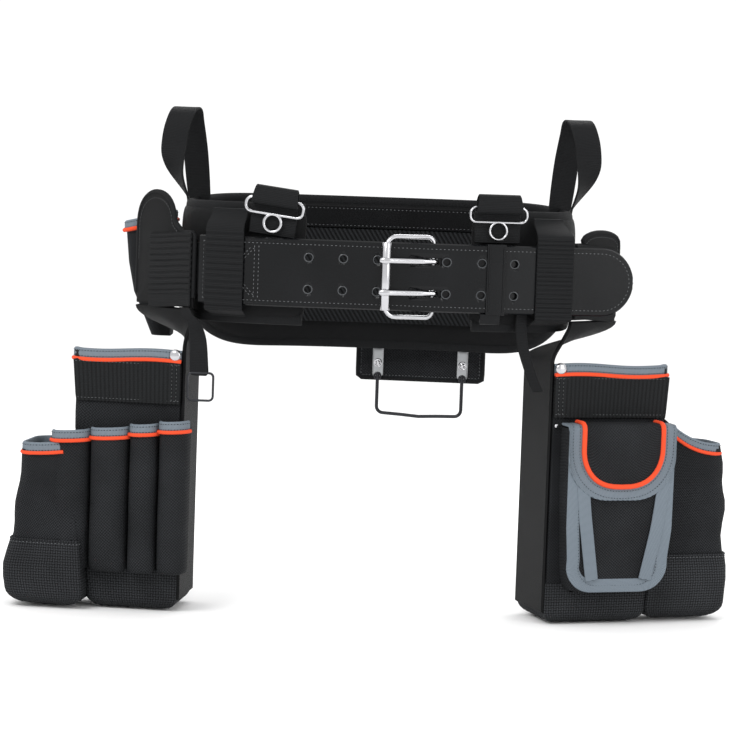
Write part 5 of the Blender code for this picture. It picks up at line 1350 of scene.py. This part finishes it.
def build_tubes(pouch):
    for number, (outer, inner, top) in enumerate(zip(TUBE_EDGES, TUBE_EDGES[1:], TUBE_TOPS)):
        middle = (outer + inner) / 2
        half = (outer - inner) / 2 - 0.0003
        name = f"left_tube_{number + 1}"

        def ring(z, inset):
            share = np.interp(z, (-0.300, -0.270, top), (0.86, 1.0, 1.0))
            points = []
            for angle in np.linspace(0, math.pi, 17):
                u = middle + (half - inset) * math.cos(angle)
                bulge = abs(math.sin(angle)) ** 0.62
                crease = 1 + 0.05 * math.sin(z * 70 + number * 2)
                v = -0.0008 - inset - (0.0215 * share * crease - 2 * inset) * bulge
                rise = (outer - u) * 0.06 * (z > -0.2)
                points.append(pouch.point(u, v, z + rise))
            for share_u in (0.3, 0.6):
                points.append(pouch.point(middle - (half - inset) * (1 - 2 * share_u), -0.0006 - inset, z))
            return points

        levels = [(-0.3000, 0.004), (-0.2985, 0.001), (-0.294, 0.0)]
        levels += [(z, 0.0) for z in np.linspace(-0.285, top - 0.003, 14)]
        node = f"left_tool_tube_{number + 1}"
        cup(name, ring, levels, 0.0018, NYLON, body=pouch.body, replaces=(node,))
        path = np.array(ring(top, 0.0009)[:17])
        flat = (path - pouch.point(middle, 0, 0)) * (1, 1, 0)
        outs = unit(np.cross(tangents(path), (0, 0, 1.0)))
        outs = np.where((outs * unit(flat)).sum(axis=1, keepdims=True) < 0, -outs, outs)
        bind(name + "_rim", path[1:-1], outs[1:-1], pouch.body, height=0.0095, half=0.0016, piping=0.0019)
    seam = [pouch.point(u, -0.0012, z) for u, z in ((0.0863, -0.17), (0.0863, -0.295))]
    stitches("left_tube_stitches", [seam], THREAD, body=pouch.body)


def side_ring(pouch, reach_top, reach_bottom, rim, drop, near_front):
    """Loops of the flared pocket on a pouch's outer side."""

    def ring(z, inset):
        base = POCKET_BASE
        near = pouch.width(max(z, pouch.base)) + 0.0008
        share = (z - base) / (rim - base)
        reaches = (reach_bottom - 0.004, reach_bottom, reach_top)
        reach = np.interp(z, (base, base + 0.035, rim), reaches)
        corners = (near + inset, near_front + inset), (reach - inset, 0.052 - inset)
        outline = rounded(*corners, (0.003, 0.013, 0.014, 0.002), steps=5, fill=7)
        points = []
        for u, v in outline:
            outer = clamp((u - near) / (reach - near))
            fall = drop * (1 - (1 - outer) ** 2.4) * clamp((share - 0.55) / 0.45)
            waver = pouch.wrinkle(u * 0.6 + v, z, 0.0024) * math.sin(math.pi * clamp(share))
            points.append(pouch.point(u + waver * outer, v - waver * (v < 0.015), z - fall))
        return points

    return ring


def build_side_pocket(pouch, ring, rim, patch_top):
    base = POCKET_BASE
    levels = toe(base + 0.0008, POCKET_TOE)
    levels += [(z, 0.0) for z in np.linspace(base + 0.030, rim - 0.002, 14)]
    node = f"{pouch.name}_side_pocket"
    cup(f"{pouch.name}_pocket", ring, levels, 0.0020, NYLON, body=pouch.body, replaces=(node,))
    patch = [(z - 0.0009, inset - 0.0013) for z, inset in toe(base + 0.0008, POCKET_TOE)]
    patch += [(z, -0.0013) for z in np.linspace(base + 0.028, patch_top, 4)]
    overlay(f"{pouch.name}_patch", ring, patch, pouch.body)
    seam = ring(patch_top - 0.002, -0.0016)
    hem = np.array([*seam, seam[0]])
    stitches(f"{pouch.name}_patch_stitches", [hem], PALE_THREAD, body=pouch.body)
    edge = ring(patch_top, -0.0010)
    tube(f"{pouch.name}_patch_hem", edge, 0.0013, COARSE, closed=True, sides=8, body=pouch.body)
    loop = np.array(ring(rim, 0.0010))
    local = loop[:, :2] - pouch.origin
    start = int(np.argmin(local @ pouch.u_axis + 10 * (local @ pouch.v_axis > 0.02)))
    loop = np.roll(loop, -start, axis=0)
    reach = (loop[:, :2] - pouch.origin) @ pouch.u_axis
    open_part = loop[reach > reach.min() + 0.004]
    centre = loop.mean(axis=0)
    outs = unit(np.cross(tangents(open_part), (0, 0, 1.0)) * (1, 1, 0))
    outward = ((open_part - centre) * outs).sum(axis=1, keepdims=True)
    outs = np.where(outward < 0, -outs, outs)
    bind(f"{pouch.name}_pocket_rim", open_part, outs, pouch.body, height=0.0095, half=0.0017, piping=0.0018)


PHONE_INNER = 0.0090
PHONE_WIDTH = 0.1120
PHONE_DEPTH = 0.0220


def face_strip(name, pouch, line, width, depth_at, material, body, thickness=0.0014):
    """A strip of tape that lies on the phone pocket's face along a line of (u, z) points."""
    line = resample(line, 0.003)
    directions = tangents(line)
    grid = []
    for side in (-0.5, 0.0, 0.5):
        row = []
        for (u, z), (a, b) in zip(line, directions):
            crown = 0.0004 * (side == 0.0)
            row.append(pouch.point(u - b * width * side, depth_at(z) - crown, z + a * width * side))
        grid.append(row)
    return sheet(name, grid, thickness, material, body=body)


def build_phone_pocket(pouch):
    bottom, top = -0.305, -0.1430

    def face_depth(z):
        shares = (0.62, 0.84, 1.0, 1.0)
        return -0.0005 - PHONE_DEPTH * np.interp(z, (-0.305, -0.295, -0.245, -0.2), shares)

    def half_width(z):
        return PHONE_WIDTH / 2 * np.interp(z, (-0.305, -0.285, -0.2), (0.86, 0.94, 1.0))

    middle = PHONE_INNER + PHONE_WIDTH / 2

    def ring(z, inset):
        half = half_width(z) - inset
        corners = (middle - half, face_depth(z) + inset), (middle + half, -0.0006 - inset)
        outline = rounded(*corners, (0.007, 0.007, 0.001, 0.001), steps=4, fill=10)
        return [pouch.point(u, v, z) for u, v in outline]

    levels = [(bottom, 0.006), (bottom + 0.002, 0.002), (bottom + 0.007, 0.0)]
    levels += [(z, 0.0) for z in np.linspace(bottom + 0.016, top, 14)]
    cup("phone_case", ring, levels, 0.0018, NYLON, body=pouch.body, replaces=("phone_pocket",))

    def on_face(z):
        return face_depth(z) - 0.0010

    def on_tape(z):
        return face_depth(z) - 0.0018

    low = bottom + 0.0075
    left = PHONE_INNER
    right = PHONE_INNER + PHONE_WIDTH
    frame_line = [(left + 0.0065, -0.175), (left + 0.0068, -0.240), (left + 0.0095, -0.270)]
    frame_line += arc((left + 0.030, low + 0.021), 0.021, 190, 270, 8)
    frame_line += arc((right - 0.030, low + 0.021), 0.021, 270, 350, 8)
    frame_line += [(right - 0.0095, -0.270), (right - 0.0068, -0.240), (right - 0.0065, -0.175)]
    face_strip("phone_frame_tape", pouch, frame_line, 0.0125, on_face, GREY, pouch.body)
    for name, start, end in (("left", 0.0240, 0.0390), ("right", 0.1110, 0.0955)):
        line = [(start, -0.190), (start + (end - start) * 0.35, -0.235), (end, low + 0.006)]
        face_strip(f"phone_tape_{name}", pouch, smooth_curve(line, 6), 0.0125, on_tape, GREY, pouch.body)
    seam = []
    for u, z in resample(frame_line, 0.004):
        seam.append(pouch.point(u + math.copysign(0.0052, middle - u), face_depth(z) - 0.0019, z))
    # The seam is sewn twice over.
    seams = [seam, seam]
    stitches("phone_stitches", seams, THREAD, body=pouch.body, pitch=0.0030, length=0.0020, radius=0.00035)
    stud = pouch.point(0.0035, -0.0012, -0.1420)
    profile = [(0.0, 0.0022), (0.0010, 0.0020), (0.0016, 0.0010)]
    turned("pouch_small_stud", stud, pouch.out(0, -1), profile, NICKEL, body=pouch.body, sides=14)


def build_flap(pouch):
    """The flap bends out over the pocket's mouth and falls down its front to a round end."""
    top, bottom = -0.1397, -0.2120
    front_depth = -0.0005 - PHONE_DEPTH - 0.0022
    left = PHONE_INNER - 0.0005
    right = PHONE_INNER + PHONE_WIDTH + 0.0005
    corner = 0.042

    def end_height(u):
        edge = min(u - left, right - u)
        if edge >= corner:
            return bottom
        return bottom + corner - math.sqrt(max(0.0, corner**2 - (corner - edge) ** 2))

    run = -front_depth - 0.0038
    bend = 0.004
    bend_length = 0.0063
    drop_start = run - bend + bend_length

    def place(u, s, out=0.0):
        """s runs from the sewn edge, out over the mouth and down the front."""
        if s < run - bend:
            return pouch.point(u, -0.0038 - s, top + out)
        if s < drop_start:
            turn = (s - run + bend) / bend_length * math.pi / 2
            depth = -0.0038 - run + bend - (bend + out) * math.sin(turn)
            return pouch.point(u, depth, top - bend + (bend + out) * math.cos(turn))
        return pouch.point(u, front_depth - out, top - bend - (s - drop_start))

    def length_to(z):
        return drop_start + (top - bend - z)

    grid = []
    for u in left + (right - left) * (0.5 - 0.5 * np.cos(np.linspace(0.03, math.pi - 0.03, 37))):
        grid.append([place(u, s) for s in np.linspace(0.0006, length_to(end_height(u)), 26)])
    flap = sheet("flap", grid, 0.0024, GREY, body="phone_flap", replaces=("phone_flap",))
    cloth(flap)
    inset = 0.0148
    inner_left, inner_right = left + inset, right - inset
    middle = (inner_left + inner_right) / 2
    half = (inner_right - inner_left) / 2
    radius = 0.0370
    floor = bottom + inset - 0.0020
    line = np.linspace(0.002, length_to(floor + radius), 18)
    whole = [place(inner_left, s, 0.0020) for s in line]
    for angle in np.linspace(180, 360, 25)[1:-1]:
        turn = math.radians(angle)
        u = middle + half * abs(math.cos(turn)) ** 0.75 * np.sign(math.cos(turn))
        z = floor + radius + radius * math.sin(turn)
        whole.append(pouch.point(u, front_depth - 0.0020, z))
    whole += [place(inner_right, s, 0.0020) for s in line[::-1]]
    tube("flap_piping", whole, 0.0025, ORANGE, sides=10, body="phone_flap")
    grid = []
    for share in np.linspace(-0.985, 0.985, 31):
        drop = radius * (1 - abs(share) ** (1 / 0.75 * 2)) ** 0.5
        stops = np.linspace(0.001, length_to(floor + radius - drop), 22)
        grid.append([place(middle + half * share, s, 0.0014) for s in stops])
    sheet("flap_face", grid, 0.0016, NYLON, body="phone_flap")
    rows = []
    for grow in (0.0045, 0.0115):
        row = []
        for point in whole:
            u = (point[:2] - pouch.origin) @ pouch.u_axis
            away = np.clip((u - middle) / half, -1, 1)
            fall = grow * math.sqrt(max(0.0, 1 - away**2))
            side = pouch.out(away * grow, 0) - np.array((0, 0, 1.0)) * fall
            row.append(point + side + pouch.out(0, 0.0006))
        rows.append(row)
    stitches("flap_stitches", rows, THREAD, body="phone_flap", pitch=0.0030, length=0.0020, radius=0.0004)


# ---------------------------------------------------------------- the whole belt
def main():
    build_pad()
    build_web_belt()
    build_billet()
    build_buckle()
    build_keeper_and_chape()
    build_pad_loops()
    for name, side in (("left", -1), ("right", 1)):
        build_handle(name, side)
    build_suspender("left", -0.099, math.radians(7.0), 0.0015)
    build_suspender("right", 0.1135, 0.0, 0.0011)
    build_hammer()
    for side in (-1, 1):
        build_hanger(side)
    build_lanyards()
    build_holster()
    left = Pouch(-1)
    right = Pouch(1)
    for pouch in (left, right):
        build_pouch_body(pouch)
        build_neck(pouch)
    build_tubes(left)
    for pouch, reach_top, reach_bottom, rim, drop, near_front in (
        (left, 0.154, 0.170, -0.172, 0.004, -0.020),
        (right, 0.186, 0.199, -0.133, 0.027, 0.0006),
    ):
        ring = side_ring(pouch, reach_top, reach_bottom, rim, drop, near_front)
        build_side_pocket(pouch, ring, rim, -0.272)
    build_phone_pocket(right)
    build_flap(right)

    floor = bpy.data.meshes.new("floor")
    reach = 30.0
    corners = ((-reach, -reach), (reach, -reach), (reach, reach), (-reach, reach))
    floor.from_pydata([(x, y, FLOOR_HEIGHT) for x, y in corners], [], [(0, 1, 2, 3)])
    floor_object = bpy.data.objects.new("floor", floor)
    bpy.context.scene.collection.objects.link(floor_object)
    floor.materials.append(plain_material("white_floor", (0.97, 0.97, 0.97), 0.9))


main()
